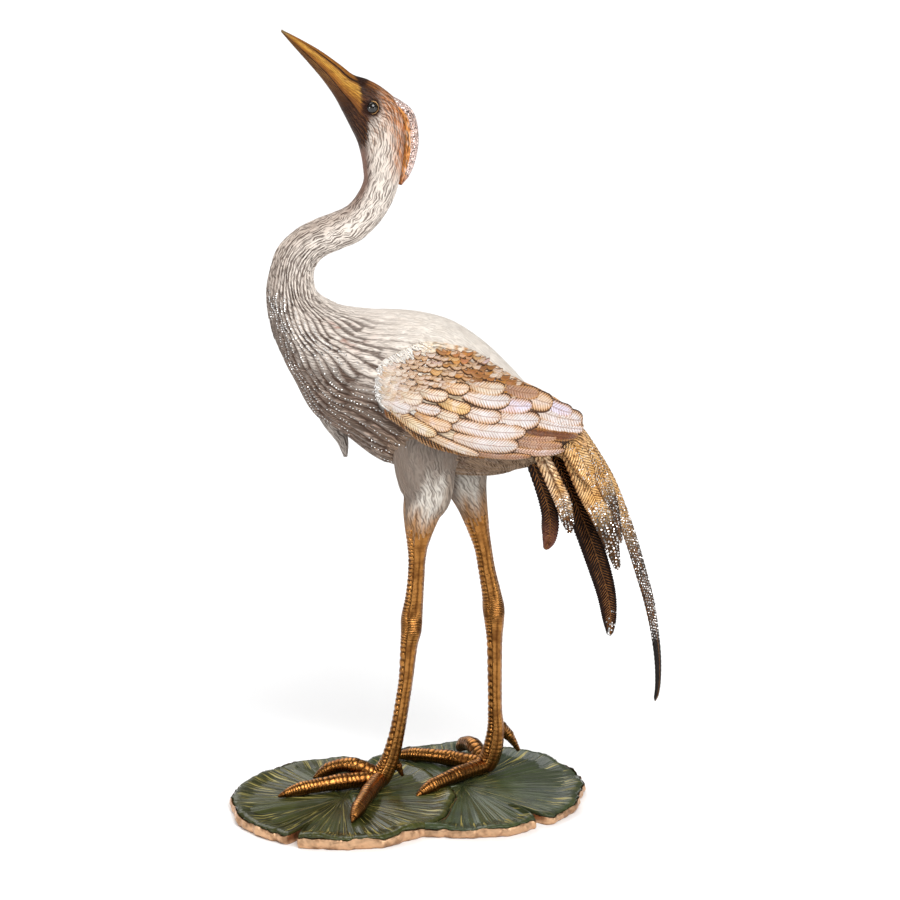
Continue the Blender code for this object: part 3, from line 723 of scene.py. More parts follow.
def trunk_point(place, turn, lift=0.0):
    """A point on the trunk: place from bill 0 to rump 1, turn in radians from the back, lift above."""
    place, turn, lift = np.broadcast_arrays(*(np.asarray(v, float) for v in (place, turn, lift)))
    x0, z0, x1, z1, wide = np.moveaxis(read(TRUNK_CURVE, np.clip(place, 0, 1)), -1, 0)
    half = np.hypot(x0 - x1, z0 - z1) / 2
    grow = 1 + lift / np.maximum(half, 1)
    x = (x0 + x1) / 2 + (x0 - x1) / 2 * np.cos(turn) * grow
    z = (z0 + z1) / 2 + (z0 - z1) / 2 * np.cos(turn) * grow
    return np.stack([x, (wide + lift) * np.sin(turn), z], -1)


def lock_swing(row, turn, side):
    """How far the locks sway round the trunk, in locks."""
    return 0.55 * np.sin(0.9 * row + 2.0 * side) + 0.35 * np.sin(2.1 * row + 5 * turn)


def lock_relief(row, turn, side):
    """Height from 0 to 1 of the wavy locks that lie like shingles along the neck's foot and breast."""
    phase = turn * sizes().lock_count / (2 * math.pi) + lock_swing(row, turn, side)
    lane = np.floor(phase)
    inside = np.abs(phase - lane - 0.5) * 2
    length = 2.3 + 0.7 * np.sin(lane * 12.9)
    way = (row / length + np.abs(np.sin(lane * 78.2)) * 3) % 1
    width = np.sqrt(np.clip(1 - way**3.2, 0.0, 1)) * (1 - 0.25 * way)
    crown = np.clip(1 - (inside / np.maximum(width, 0.04)) ** 2, 0, 1)
    return crown * (0.32 + 0.68 * smooth(0, 0.8, way))


def face_layers(row, angle, points, fine):
    """How dark the face is, and the layers of crown, face, brow and the ring round the eye."""
    umber = colours().umber
    crown = smooth(5.4, 6.2, row) * smooth(10.6, 9.0, row) * smooth(84, 40, angle + 14 * fine)
    crown = crown * (0.35 + 0.6 * smooth(-0.3, 0.3, noise(row * 9, angle * 0.33)))
    top = smooth(5.6, 6.4, row) * smooth(10, 8.4, row)
    top = top * smooth(0.1, 0.5, fine) * smooth(70, 50, angle) * 0.8
    bound = 5.9 + 0.65 * smooth(30, 80, angle) + 1.1 * smooth(95, 135, angle)
    dark = smooth(0.3, -0.3, row - bound + 0.38 * fine) * smooth(3.6, 4.0, row)
    threads = smooth(0.15, 0.5, noise(row * 2.6, angle * 0.95))
    brow = smooth(4.9, 5.3, row) * smooth(7.4, 6.4, row) * smooth(46, 22, angle)
    brow = brow * smooth(-0.25, 0.25, noise(row * 2.6, angle * 0.6)) * 0.85
    behind = smooth(0.0, 0.5, row - bound) * smooth(1.5, 0.6, row - bound) * smooth(132, 105, angle)
    eye = np.hypot(points[:, 0] - EYE_PLACE[0], points[:, 2] - EYE_PLACE[1])
    beside = smooth(9.5, 12, eye) * smooth(30, 16, eye) * smooth(0.0, 0.4, fine) * 0.8
    return dark, (
        (crown, (0.56, 0.20, 0.055)),
        (top, umber),
        (dark, umber),
        (threads * dark * smooth(4.6, 5.6, row) * 0.35, (0.26, 0.105, 0.032)),
        (brow, (0.46, 0.175, 0.050)),
        (behind * smooth(-0.2, 0.3, fine) * 0.75, (0.26, 0.115, 0.05)),
        (beside, (0.085, 0.032, 0.016)),
        (smooth(12, 9.5, eye), umber),
    )


def bill_colours(row, angle, fine):
    """The bill's upper half, amber with brown streaks, a painted highlight along its side and a dark ridge,
    and its brown lower half.
    """
    streak = noise(row * 0.9, angle * 0.42)
    thread = noise(row * 1.5, angle * 1.1)
    upper = paint(
        coat(len(row), (0.33, 0.130, 0.022)),
        # a lighter golden streak along the bill's upper side, which is also a painted highlight
        (hill(66, 26, angle + 9 * streak), (0.58, 0.30, 0.050)),
        (smooth(-0.05, 0.35, thread) * 0.85, (0.085, 0.026, 0.007)),
        (hill(40, 11, angle + 5 * streak) * smooth(0.6, 2, row), colours().umber),
        (smooth(MOUTH - 22, MOUTH - 2, angle + 9 * streak) * 0.75, (0.11, 0.035, 0.010)),
        (smooth(16, 4, angle) * 0.8, (0.16, 0.050, 0.014)),
        (smooth(0.7, 0.1, row) * 0.75, (0.12, 0.10, 0.055)),
    )
    lines = smooth(0.05, 0.5, thread) * smooth(4.9, 2.6, row)
    lower = paint(coat(len(row), (0.060, 0.023, 0.009)), (lines, (0.24, 0.115, 0.028)))
    return upper, lower


def body_tint(row, angle, points, locks):
    """The trunk's colours by section row, by angle from the back in degrees and by place."""
    c = colours()
    uneven = noise(row * 2.2, angle * 0.06)
    fine = noise(row * 6.0, angle * 0.5)
    low = smooth(100, 140, angle + 14 * uneven) * smooth(15, 20, row)
    throat = smooth(112, 150, angle + 8 * fine) * smooth(6, 8, row) * smooth(13.5, 10.5, row)
    front = smooth(85, 150, angle) * smooth(9, 12, row) * smooth(20, 16, row)
    dark, face = face_layers(row, angle, points, fine)
    amber, jaw = bill_colours(row, angle, fine)
    bill_end = 4.0 + 1.9 * np.clip(angle / MOUTH, 0, 1) ** 1.3
    upper = smooth(0.12, -0.12, row - bill_end + 0.15 * fine) * smooth(MOUTH + 2, MOUTH - 2, angle)
    lower = smooth(5.4, 4.2, row) * smooth(MOUTH - 2, MOUTH + 2, angle)
    # where the locks lie: the field for the painted shade between them, their brown lines and pale crests
    wear_and_shade = smooth(12.5, 16.5, row) * smooth(28, 25, row) * smooth(8, 34, angle)
    wear_and_shade *= 1 - smooth(19.4, 23.2, row) * smooth(76, 30, angle)
    accent = hill(20.6, 1.6, row) * hill(58, 26, angle)
    accent = accent * smooth(0.15, 0.45, noise(row * 2.9, angle * 0.19))
    tint = paint(
        coat(len(row), c.pearl),
        # Neck, mantle, breast and belly
        (smooth(7, 12, row), (0.72, 0.65, 0.585)),
        (smooth(21, 24, row) * smooth(88, 40, angle) * 0.9, (0.69, 0.635, 0.57)),
        (hill(26.3, 2.4, row) * hill(50, 26, angle) * 0.7, c.peach),
        (low * 0.95, c.taupe),
        (smooth(20.2, 22.2, row) * smooth(80, 108, angle) * 0.95, c.taupe),
        (smooth(23.2, 25.2, row) * smooth(95, 125, angle) * 0.92, c.beige),
        # painted shade on the underside of the neck's lower part
        (hill(150, 60, angle) * hill(13.5, 3.2, row) * 0.55, (0.36, 0.27, 0.21)),
        # A warm dark line down the front of the neck
        (throat * 0.92, (0.13, 0.050, 0.028)),
        # painted shade over the front of the neck
        (front * 0.33, (0.38, 0.28, 0.22)),
        *face,
        (upper, amber),
        (lower, jaw),
        (hill(MOUTH, 4, angle) * smooth(6.1, 5.4, row) * 0.9, (0.015, 0.006, 0.003)),
        # Brown lines and painted shade between the locks, a few locks warmed with rust, and pale crests low
        # down
        # painted shade: a broad brown darkening in the hollows between the locks
        ((1 - locks) ** 2 * wear_and_shade * smooth(13, 18, row) * 0.50, (0.22, 0.155, 0.12)),
        (smooth(0.17, 0.0, locks) * wear_and_shade * smooth(12, 17, row) * 0.90, (0.050, 0.028, 0.019)),
        (accent * smooth(0.1, 0.4, locks) * 0.8, (0.34, 0.10, 0.055)),
        (smooth(0.60, 1.0, locks) * wear_and_shade * low * 0.6, (0.38, 0.32, 0.28)),
    )
    ink = 0.74 + 0.10 * smooth(9, 14, row)
    ink *= 1 - 0.8 * np.maximum(upper, lower)
    ink *= 1 - 0.7 * dark
    ink *= 1 - 0.75 * smooth(75, 35, angle) * smooth(19, 22, row)
    ink *= 1 - 0.30 * smooth(15, 18, row) * (1 - 0.8 * low)
    return np.column_stack([tint, ink])


class CRANE_OT_body(bpy.types.Operator):
    """Bill, head, neck and body as one skin with engraved plumage"""

    bl_idname = "crane.body"
    bl_label = "Body"

    def execute(self, context):
        piece, u, v = grid("crane_body", 276, 286)
        end = 0.0035
        place = np.clip((u - end) / (1 - 2 * end), 0, 1)
        shrink = np.sqrt(np.clip(u / end, 0, 1)) * np.sqrt(np.clip((1 - u) / end, 0, 1))
        turn = 2 * math.pi * v - math.pi
        row, angle, side = place * LAST_ROW, np.degrees(np.abs(turn)), np.sign(turn)
        locks = lock_relief(row, np.abs(turn), side)
        depth = sizes().lock_depth / SHARE
        lift = depth * (locks - 0.5) * smooth(13.5, 18.0, row) * smooth(29, 26, row)
        lift *= smooth(4, 30, angle)
        lift *= 1 - 0.85 * smooth(19.4, 23.2, row) * smooth(76, 30, angle)
        lift += 0.4 * (locks - 0.5) * smooth(9, 12, row) * smooth(18, 15, row)
        lift -= 1.3 * hill(MOUTH, 5, angle) * smooth(5.8, 5.0, row) * smooth(0, 0.6, row)
        lift -= 0.8 * hill(42, 9, angle) * smooth(0.6, 2, row) * smooth(4.2, 3.4, row)
        lift += 1.6 * hill(84, 30, angle) * hill(5.3, 1.1, row)
        points = trunk_point(place, turn, lift)
        mid = read(TRUNK_CURVE, place)
        heart = np.stack([(mid[:, 0] + mid[:, 2]) / 2, 0 * place, (mid[:, 1] + mid[:, 3]) / 2], 1)
        points = heart + (points - heart) * shrink[:, None]
        radius = (np.hypot(mid[:, 0] - mid[:, 2], mid[:, 1] - mid[:, 3]) / 2 + mid[:, 4]) / 2
        line = TRUNK_CURVE[:, :2] + TRUNK_CURVE[:, 2:4]
        run = np.concatenate([[0], np.cumsum(np.linalg.norm(np.diff(line / 2, axis=0), axis=1))])
        along = np.interp(place, np.linspace(0, 1, CURVE_STEPS), run)
        flow = np.stack([along, turn * radius], 1) * MM / 10
        dress(piece.data, on_figure(points), flow, body_tint(row, angle, points, locks))
        close(piece)
        finish(piece, plumage_enamel(), ["crane"])
        return {"FINISHED"}


WING_CURVE = through(WING, 400)


def wing_point(side, along, up, lift=0.0):
    """The point of a wing's outer face at this place along and up, side -1 for the left wing."""
    along, up, lift = np.broadcast_arrays(*(np.asarray(v, float) for v in (along, up, lift)))
    columns = (np.interp(along, WING_CURVE[:, 0], WING_CURVE[:, i]) for i in range(1, 6))
    top, low, middle, at_top, at_low = columns
    t = np.clip((up - low) / np.maximum(top - low, 1), -0.1, 1.1)
    crown = middle - (at_top + at_low) / 2
    out = at_low * (1 - t) + at_top * t + 4 * crown * t * (1 - t)
    drop = RIGHT_WING_DROP * np.clip((along - 40) / 90, 0, 1) if side > 0 else 0
    return np.stack([along, side * (out + lift), up - drop], -1)


def on_wing(side, along, up, lift):
    """A point above the wing's face, and the way the face looks there."""
    ahead = wing_point(side, along + 3, up) - wing_point(side, along - 3, up)
    above = wing_point(side, along, up + 3) - wing_point(side, along, up - 3)
    normal = unit(np.cross(ahead, above))
    normal = normal * np.sign(normal[..., 1:2]) * side
    return wing_point(side, along, up) + normal * np.asarray(lift)[..., None], normal


def wing_edges(along):
    """How far up a wing's upper and lower edges are."""
    return (np.interp(along, WING_CURVE[:, 0], WING_CURVE[:, i]) for i in (1, 2))


def feather_form(along, around):
    """A feather's shape: across from -1 to 1, how wide it is there, and whether it faces out or in."""
    turn = 2 * math.pi * around
    across = np.cos(turn)
    outline = np.where(along < 0.6, 0.72 + 0.28 * np.sin(math.pi * along / 1.2), 1.0)
    outline = outline * np.sqrt(np.clip(1 - np.clip((along - 0.6) / 0.4, 0, 1) ** 3.0, 0, 1))
    outline = outline * np.sqrt(np.clip(along / 0.04, 0, 1))
    return across, outline, np.sin(turn)


class CRANE_OT_wings(bpy.types.Operator):
    """Both wings: a shouldered slab each, rows of scalloped feathers, and small coverts"""

    bl_idname = "crane.wings"
    bl_label = "Wings"

    def execute(self, context):
        faces, along, around = pattern(28, 28)
        small_faces, small_along, small_around = pattern(11, 14)
        for side, name in ((-1, "left"), (1, "right")):
            self.slab(side, name)
            sets = [self.feather(side, along, around, *row) for row in FEATHERS]
            finish(copies(f"wing_{name}_feathers", faces, sets), feather_enamel())
            sets = [self.feather(side, small_along, small_around, *row) for row in self.coverts()]
            finish(copies(f"wing_{name}_coverts", small_faces, sets), feather_enamel())
        return {"FINISHED"}

    def slab(self, side, name):
        """A wing's body: the outer face up to the share v of FACE_ROWS, then the inner face."""
        piece, u, v = grid(f"wing_{name}", 104, 80)
        at = -44 + 270 * u
        top, low = wing_edges(at)
        outside = v < FACE_ROWS
        back = np.clip((v - FACE_ROWS) / (1 - FACE_ROWS), 0, 1)
        t = np.where(outside, np.clip(v / FACE_ROWS, 0, 1), 1 - back)
        points = wing_point(side, at, low + (top - low) * t)
        end = np.sqrt(np.clip(u / 0.02, 0, 1) * np.clip((1 - u) / 0.02, 0, 1))
        middle = wing_point(side, at, (low + top) / 2) * np.array([1, 0.7, 1])
        points[:, 1] *= np.where(outside, 1.0, 1 - 0.75 * np.sin(math.pi * back) ** 0.6)
        points = middle + (points - middle) * end[:, None]
        c = colours()
        under = smooth(90, 112, at) * smooth(0.70, 0.52, t)
        flecks = smooth(-0.15, 0.25, noise(at * 0.55, t * 31)) * smooth(0.70, 0.90, t)
        tint = paint(
            coat(len(u), c.cream),
            (smooth(0.25, 0.0, t + 0.05 * noise(at * 0.3, t * 9)) * 0.8, c.pearl),
            (smooth(40, 0, at) * 0.9, (0.76, 0.72, 0.67)),
            (smooth(60, 150, at) * 0.5, c.peach),
            (smooth(0.13, 0.03, t) * 0.9, c.umber),
            (under * 0.96, (0.030, 0.012, 0.006)),
            (smooth(30, 60, at) * smooth(0.55, 0.75, t) * 0.6, c.amber),
            (flecks * 0.85, (0.74, 0.66, 0.56)),
        )
        flow = np.stack([at, t * (top - low)], 1) * MM / 10
        dress(piece.data, on_figure(points), flow, np.column_stack([tint, 0.55 - 0.45 * under]))
        close(piece)
        finish(piece, plumage_enamel())

    def coverts(self):
        """Small mottled feathers of shoulder and amber patch: root, tip, half width and finish of each."""
        rng = np.random.default_rng(7)
        made = []
        for level in range(14):
            share = 0.16 + 0.060 * level
            first = -36 + 3.5 * (level % 2)
            last = -6 + 46 * (share - 0.16) if share < 0.60 else 158 - 40 * (share - 0.6)
            for start in np.arange(first, last, 6.2):
                top, low = wing_edges(np.array([start]))
                up = (low + (top - low) * share)[0] + rng.uniform(-2, 2)
                if (top - low)[0] < 30 or up > top[0] - 7 * (start < 30):
                    continue
                x = start + rng.uniform(-2.4, 2.4)
                slope = -0.15 - 0.0021 * start + rng.uniform(-0.12, 0.12)
                reach = rng.uniform(11, 17)
                kind = self.covert_finish(x, up, share, rng)
                made.append((x, up, x + reach, up + slope * reach, rng.uniform(2.5, 3.8), kind))
        for x in np.arange(-26, 96, 4.0):
            _, low = wing_edges(np.array([x]))
            tip = x + 3 + rng.uniform(-1, 1)
            made.append((x - 3, low[0] + 9, tip, low[0] - 3, 1.9, rng.choice(["umber", "comb"])))
        return made

    def covert_finish(self, x, up, share, rng):
        """Cream and white on the shoulder, amber and brown flecked with white further back."""
        field = float(noise(x * 0.075, up * 0.13)) + 0.35 * float(noise(x * 0.33, up * 0.45))
        field += rng.normal(0, 0.16)
        warm = smooth(2, 34, x) * smooth(0.50, 0.62, share)
        if rng.random() > warm:
            return rng.choice(["cream", "snow", "snow", "snow"])
        if field < -0.10:
            return rng.choice(["snow", "lilac", "cream"], p=[0.5, 0.15, 0.35])
        if field < 0.00:
            return rng.choice(["peach", "gold"])
        if field < 0.17:
            return rng.choice(["honey", "umber", "gold"])
        return rng.choice(["umber", "bark", "rust", "honey"])

    def feather(self, side, along, around, x0, z0, x1, z1, half_width, kind):
        """A feather's points, flow, tint and rim distance, from its root x0, z0 to its tip x1, z1."""
        across, outline, face = feather_form(along, around)
        length = math.hypot(x1 - x0, z1 - z0)
        way = np.array([x1 - x0, z1 - z0]) / length
        off = across * outline * half_width
        x = x0 + (x1 - x0) * along - way[1] * off
        z = z0 + (z1 - z0) * along + way[0] * off - 3 * np.sin(math.pi * along)
        rise = FEATHER_RISE * min(1, half_width / 9)
        height = rise * along + (1.2 * (1 - across**2) + 0.7) * np.sqrt(np.maximum(outline, 0))
        slid = along * length - FEATHER_SLANT * np.abs(off)
        barb = np.sin(2 * math.pi * slid / (FEATHER_PITCH * 10 / MM))
        groove = 0.25 * np.exp(-((across / 0.06) ** 2)) + (0.22 * barb if half_width > 6 else 0)
        lift = np.where(face > 0, height - groove, rise * along - 1.6)
        lift = lift - 0.9 * across**2 * np.where(face > 0, 1, 0)
        points, _ = on_wing(side, x, z, lift)
        finer = 2.2 if half_width < 6 else 1.0
        flow = np.stack([off, along * length], 1) * MM / 10 * finer
        tint = self.feather_tint(along, x0, z0, half_width, kind)
        return on_figure(points), flow, tint, self.rim_distance(along, across, outline, length, half_width)

    def feather_tint(self, along, x0, z0, half_width, kind):
        """A feather's finish with painted shade at its root, and how strongly its barbs are inked."""
        c = colours()
        tint = coat(len(along), FINISHES.get(kind) or getattr(c, kind))
        shade = c.peach if kind in ("white", "pink", "lilac") else c.umber
        # painted shade at the root: peach on pale feathers, umber on the rest
        tint = paint(tint, (smooth(0.60, 0.05, along) * (0.35 if half_width > 5 else 0.1), shade))
        if kind in ("peach", "cream"):
            tint = paint(tint, (smooth(0.2, 0.8, along) * 0.5, c.pearl))
        ink = 0.7 if half_width < 5.5 else {"comb": 2.0, "brown": 1.6, "pink": 1.6}.get(kind, 0.9)
        if kind != "comb":
            ink = 0.25 + (ink - 0.25) * float(smooth(-24, 16, x0 + 0.35 * (z0 - 540)))
        return np.column_stack([tint, np.full(len(along), ink)])

    def rim_distance(self, along, across, outline, length, half_width):
        """Millimetres from the feather's rim, counted as more on narrow feathers for thinner rims."""
        steps = np.linspace(0, 1, 50)
        slope = np.abs(np.gradient(np.sqrt(np.clip(1 - steps**3.0, 0, 1)), 1 / 49))
        steep = np.interp(np.clip((along - 0.6) / 0.4, 0, 1), steps, slope)
        steep = steep * half_width / (0.4 * length)
        edge = (1 - np.abs(across)) * outline * half_width * MM / np.sqrt(1 + steep**2)
        return np.where(along > 0.999, 0, edge) * min(1.5, 9 / half_width)


def blade(line, y0, y1, facing, side, along, around, thick=3.2):
    """A free plume's points, outward way, flow and rim distance, for coordinates along and around."""
    line = np.array(line, float)
    share = np.linspace(0, 1, len(line))
    rows = through(np.column_stack([line, side * (y0 + (y1 - y0) * share**1.2)]), 120)
    x, z, wide, y = np.moveaxis(read(rows, along), -1, 0)
    ahead = read(np.gradient(rows, axis=0), along)
    tangent = unit(np.stack([ahead[:, 0], ahead[:, 3], ahead[:, 1]], 1))
    normal = np.array([facing[0], side * facing[1], facing[2]])
    normal = unit(normal - (tangent @ normal)[:, None] * tangent)
    out = np.cross(normal, tangent)
    turn = 2 * math.pi * around
    across, face = np.cos(turn), np.sin(turn)
    taper = np.sqrt(np.clip(along / 0.03, 0, 1)) * np.sqrt(np.clip((1 - along) / 0.03, 0, 1))
    length = np.linalg.norm(np.diff(rows[:, [0, 1, 3]], axis=0), axis=1).sum()
    slid = along * length - PLUME_SLANT * np.abs(across) * wide
    barb = np.sin(2 * math.pi * slid * MM / 10 / PLUME_PITCH)
    wide = wide * taper * (1 + 0.045 * barb)
    bow = np.sqrt(np.clip(1 - across**2, 0, 1))
    crown = bow * thick * (0.3 + 0.7 * np.minimum(wide / 12, 1)) * taper
    ridge = 0.7 * np.exp(-((across / 0.10) ** 2)) * taper
    carved = 0.35 * barb * bow * taper
    height = np.where(face > 0, crown + ridge + carved, -0.7 * crown - carved)
    centre = np.stack([x, y, z], 1)
    points = centre + out * (across * wide)[:, None] + normal * height[:, None]
    flow = np.stack([across * wide, along * length], 1) * MM / 10
    return points, normal, flow, (1 - np.abs(across)) * wide * MM


def plume_tint(kind, along, around):
    """A plume's colours by its finish, and how strongly its barbs are drawn."""
    across = np.abs(np.cos(2 * math.pi * around))
    mottle = 0.5 + 0.5 * noise(along * 14, around * 5)
    gold = paint(
        coat(len(along), (0.62, 0.32, 0.090)),
        (mottle, (0.86, 0.58, 0.30)),
        (smooth(0.72, 0.95, across) * 0.7, (0.22, 0.085, 0.025)),
    )
    if kind == "bright":
        tint, ink = gold, 0.9
    elif kind == "gold":
        tint = paint(gold, (smooth(0.38, 0.66, along) * 0.95, (0.022, 0.010, 0.006)))
        ink = 0.95 - 0.7 * smooth(0.4, 0.7, along)
    elif kind == "gold to dark":
        tint = paint(
            gold,
            (mottle * 0.6, (0.70, 0.55, 0.42)),
            (smooth(0.45, 0.80, along), (0.030, 0.013, 0.008)),
            (smooth(0.22, 0.10, across) * 0.9, colours().umber),
        )
        ink = 0.9
    elif kind == "gold to black":
        tint = paint(
            gold,
            (smooth(0.22, 0.46, along) * 0.97, (0.024, 0.020, 0.019)),
            (smooth(0.66, 0.73, along), (0.012, 0.009, 0.008)),
        )
        ink = 0.8 * smooth(0.75, 0.6, along)
    else:
        rusty = smooth(0.45, 0.9, along) * (0.6 if kind == "dark to rust" else 0)
        tint = paint(coat(len(along), (0.014, 0.006, 0.004)), (rusty, (0.22, 0.085, 0.060)))
        ink = 0.95 * smooth(0.80, 0.45, across)
    return np.column_stack([tint, ink + 0 * along])


class CRANE_OT_tail(bpy.types.Operator):
    """Tail plumes with shafts and barbs, and the root they grow from"""

    bl_idname = "crane.tail"
    bl_label = "Tail"

    def execute(self, context):
        faces, along, around = pattern(156, 36)
        sets = []
        for line, y0, y1, facing, twin, kind in PLUMES:
            for side in (1, -1) if twin else (1,):
                points, _, flow, edge = blade(line, y0, y1, facing, side, along, around)
                sets.append((on_figure(points), flow, plume_tint(kind, along, around), edge))
        finish(copies("tail_plumes", faces, sets), plume_enamel())
        piece = limb_in_middle("tail_root", 60, 48, TAIL_ROOT, golden_root)
        finish(piece, plumage_enamel())
        return {"FINISHED"}


def golden_root(along, turn):
    specks = smooth(0.1, 0.6, noise(along * 34, turn * 9)) * 0.8
    tint = paint(
        coat(len(along), (0.66, 0.36, 0.12)),
        (0.5 + 0.5 * noise(along * 20, turn * 4), colours().peach),
        (specks, (0.12, 0.045, 0.014)),
    )
    return 0.4 * noise(along * 40, turn * 6), np.column_stack([tint, 0.9 + 0 * along])


def limb_in_middle(name, long, round_, rows, surface):
    """A tube in the bird's middle plane, through rows of along, up, half depth and half width."""
    x, z, deep, wide = np.array(rows, float).T
    return limb(name, long, round_, through(np.stack([x, z, 0 * x, deep, wide], 1), LIMB_STEPS), surface)


def limb(name, long, round_, rows, surface, side_way=(0, 1, 0)):
    """A tube through close rows of along, up, across, half depth and half width.

    The surface gives the lift and tint of each point, by its share along and its turn round the tube.
    """
    piece, u, v = grid(name, long, round_)
    x, z, y, deep, wide = np.moveaxis(read(rows, u), -1, 0)
    ahead = read(np.gradient(rows, axis=0), u)
    tangent = unit(np.stack([ahead[:, 0], ahead[:, 2], ahead[:, 1]], 1))
    way = np.asarray(side_way, float)
    run = np.concatenate([[0], np.cumsum(np.linalg.norm(np.diff(rows[:, :3], axis=0), axis=1))])
    sidewards = unit(way - (tangent @ way)[:, None] * tangent)
    front = np.cross(tangent, sidewards)
    turn = 2 * math.pi * v
    lift, tint = surface(u, turn)
    end = np.sqrt(np.clip(u / 0.012, 0, 1) * np.clip((1 - u) / 0.012, 0, 1))
    ring = front * (np.cos(turn) * (deep + lift))[:, None]
    ring = ring + sidewards * (np.sin(turn) * (wide + lift))[:, None]
    points = np.stack([x, y, z], 1) + ring * end[:, None]
    reached = np.interp(u, np.linspace(0, 1, len(rows)), run)
    flow = np.stack([reached, (turn - math.pi) * (deep + wide) / 2], 1) * MM / 10
    dress(piece.data, on_figure(points), flow, tint)
    close(piece)
    return piece


def scutes(run, turn, pitch):
    """Relief of banded skin from 0 to 1: plates across the front, a groove, and long ridges."""
    off = np.abs((turn + 0 * run) % (2 * math.pi) - math.pi)
    wander = 0.35 * np.sin(run / pitch * 0.9 + 2) + 0.25 * np.sin(3 * off + run / pitch * 2.3)
    bands = np.abs(np.sin(math.pi * run / pitch + wander)) ** 0.35
    rings = np.abs(np.sin(math.pi * run / pitch + wander + 1.5)) ** 0.5
    ridges = 0.50 + 0.50 * np.abs(np.sin(3.4 * off + 0.25 * wander)) ** 0.6
    plates = smooth(1.30, 1.16, off)
    relief = bands * plates + ridges * (0.80 + 0.20 * rings) * (1 - plates)
    return relief * (1 - 0.6 * hill(1.23, 0.12, off)) * (1 - 0.25 * hill(1.95, 0.10, off))


def gilt_tint(tone, green, blue):
    """The gilding's tint: its tone as red, with a steady share and a share by tone for green and blue."""
    greener = tone * (green[0] + green[1] * tone)
    bluer = tone * (blue[0] + blue[1] * tone)
    return np.column_stack([tone, greener, bluer, 1 + 0 * tone])


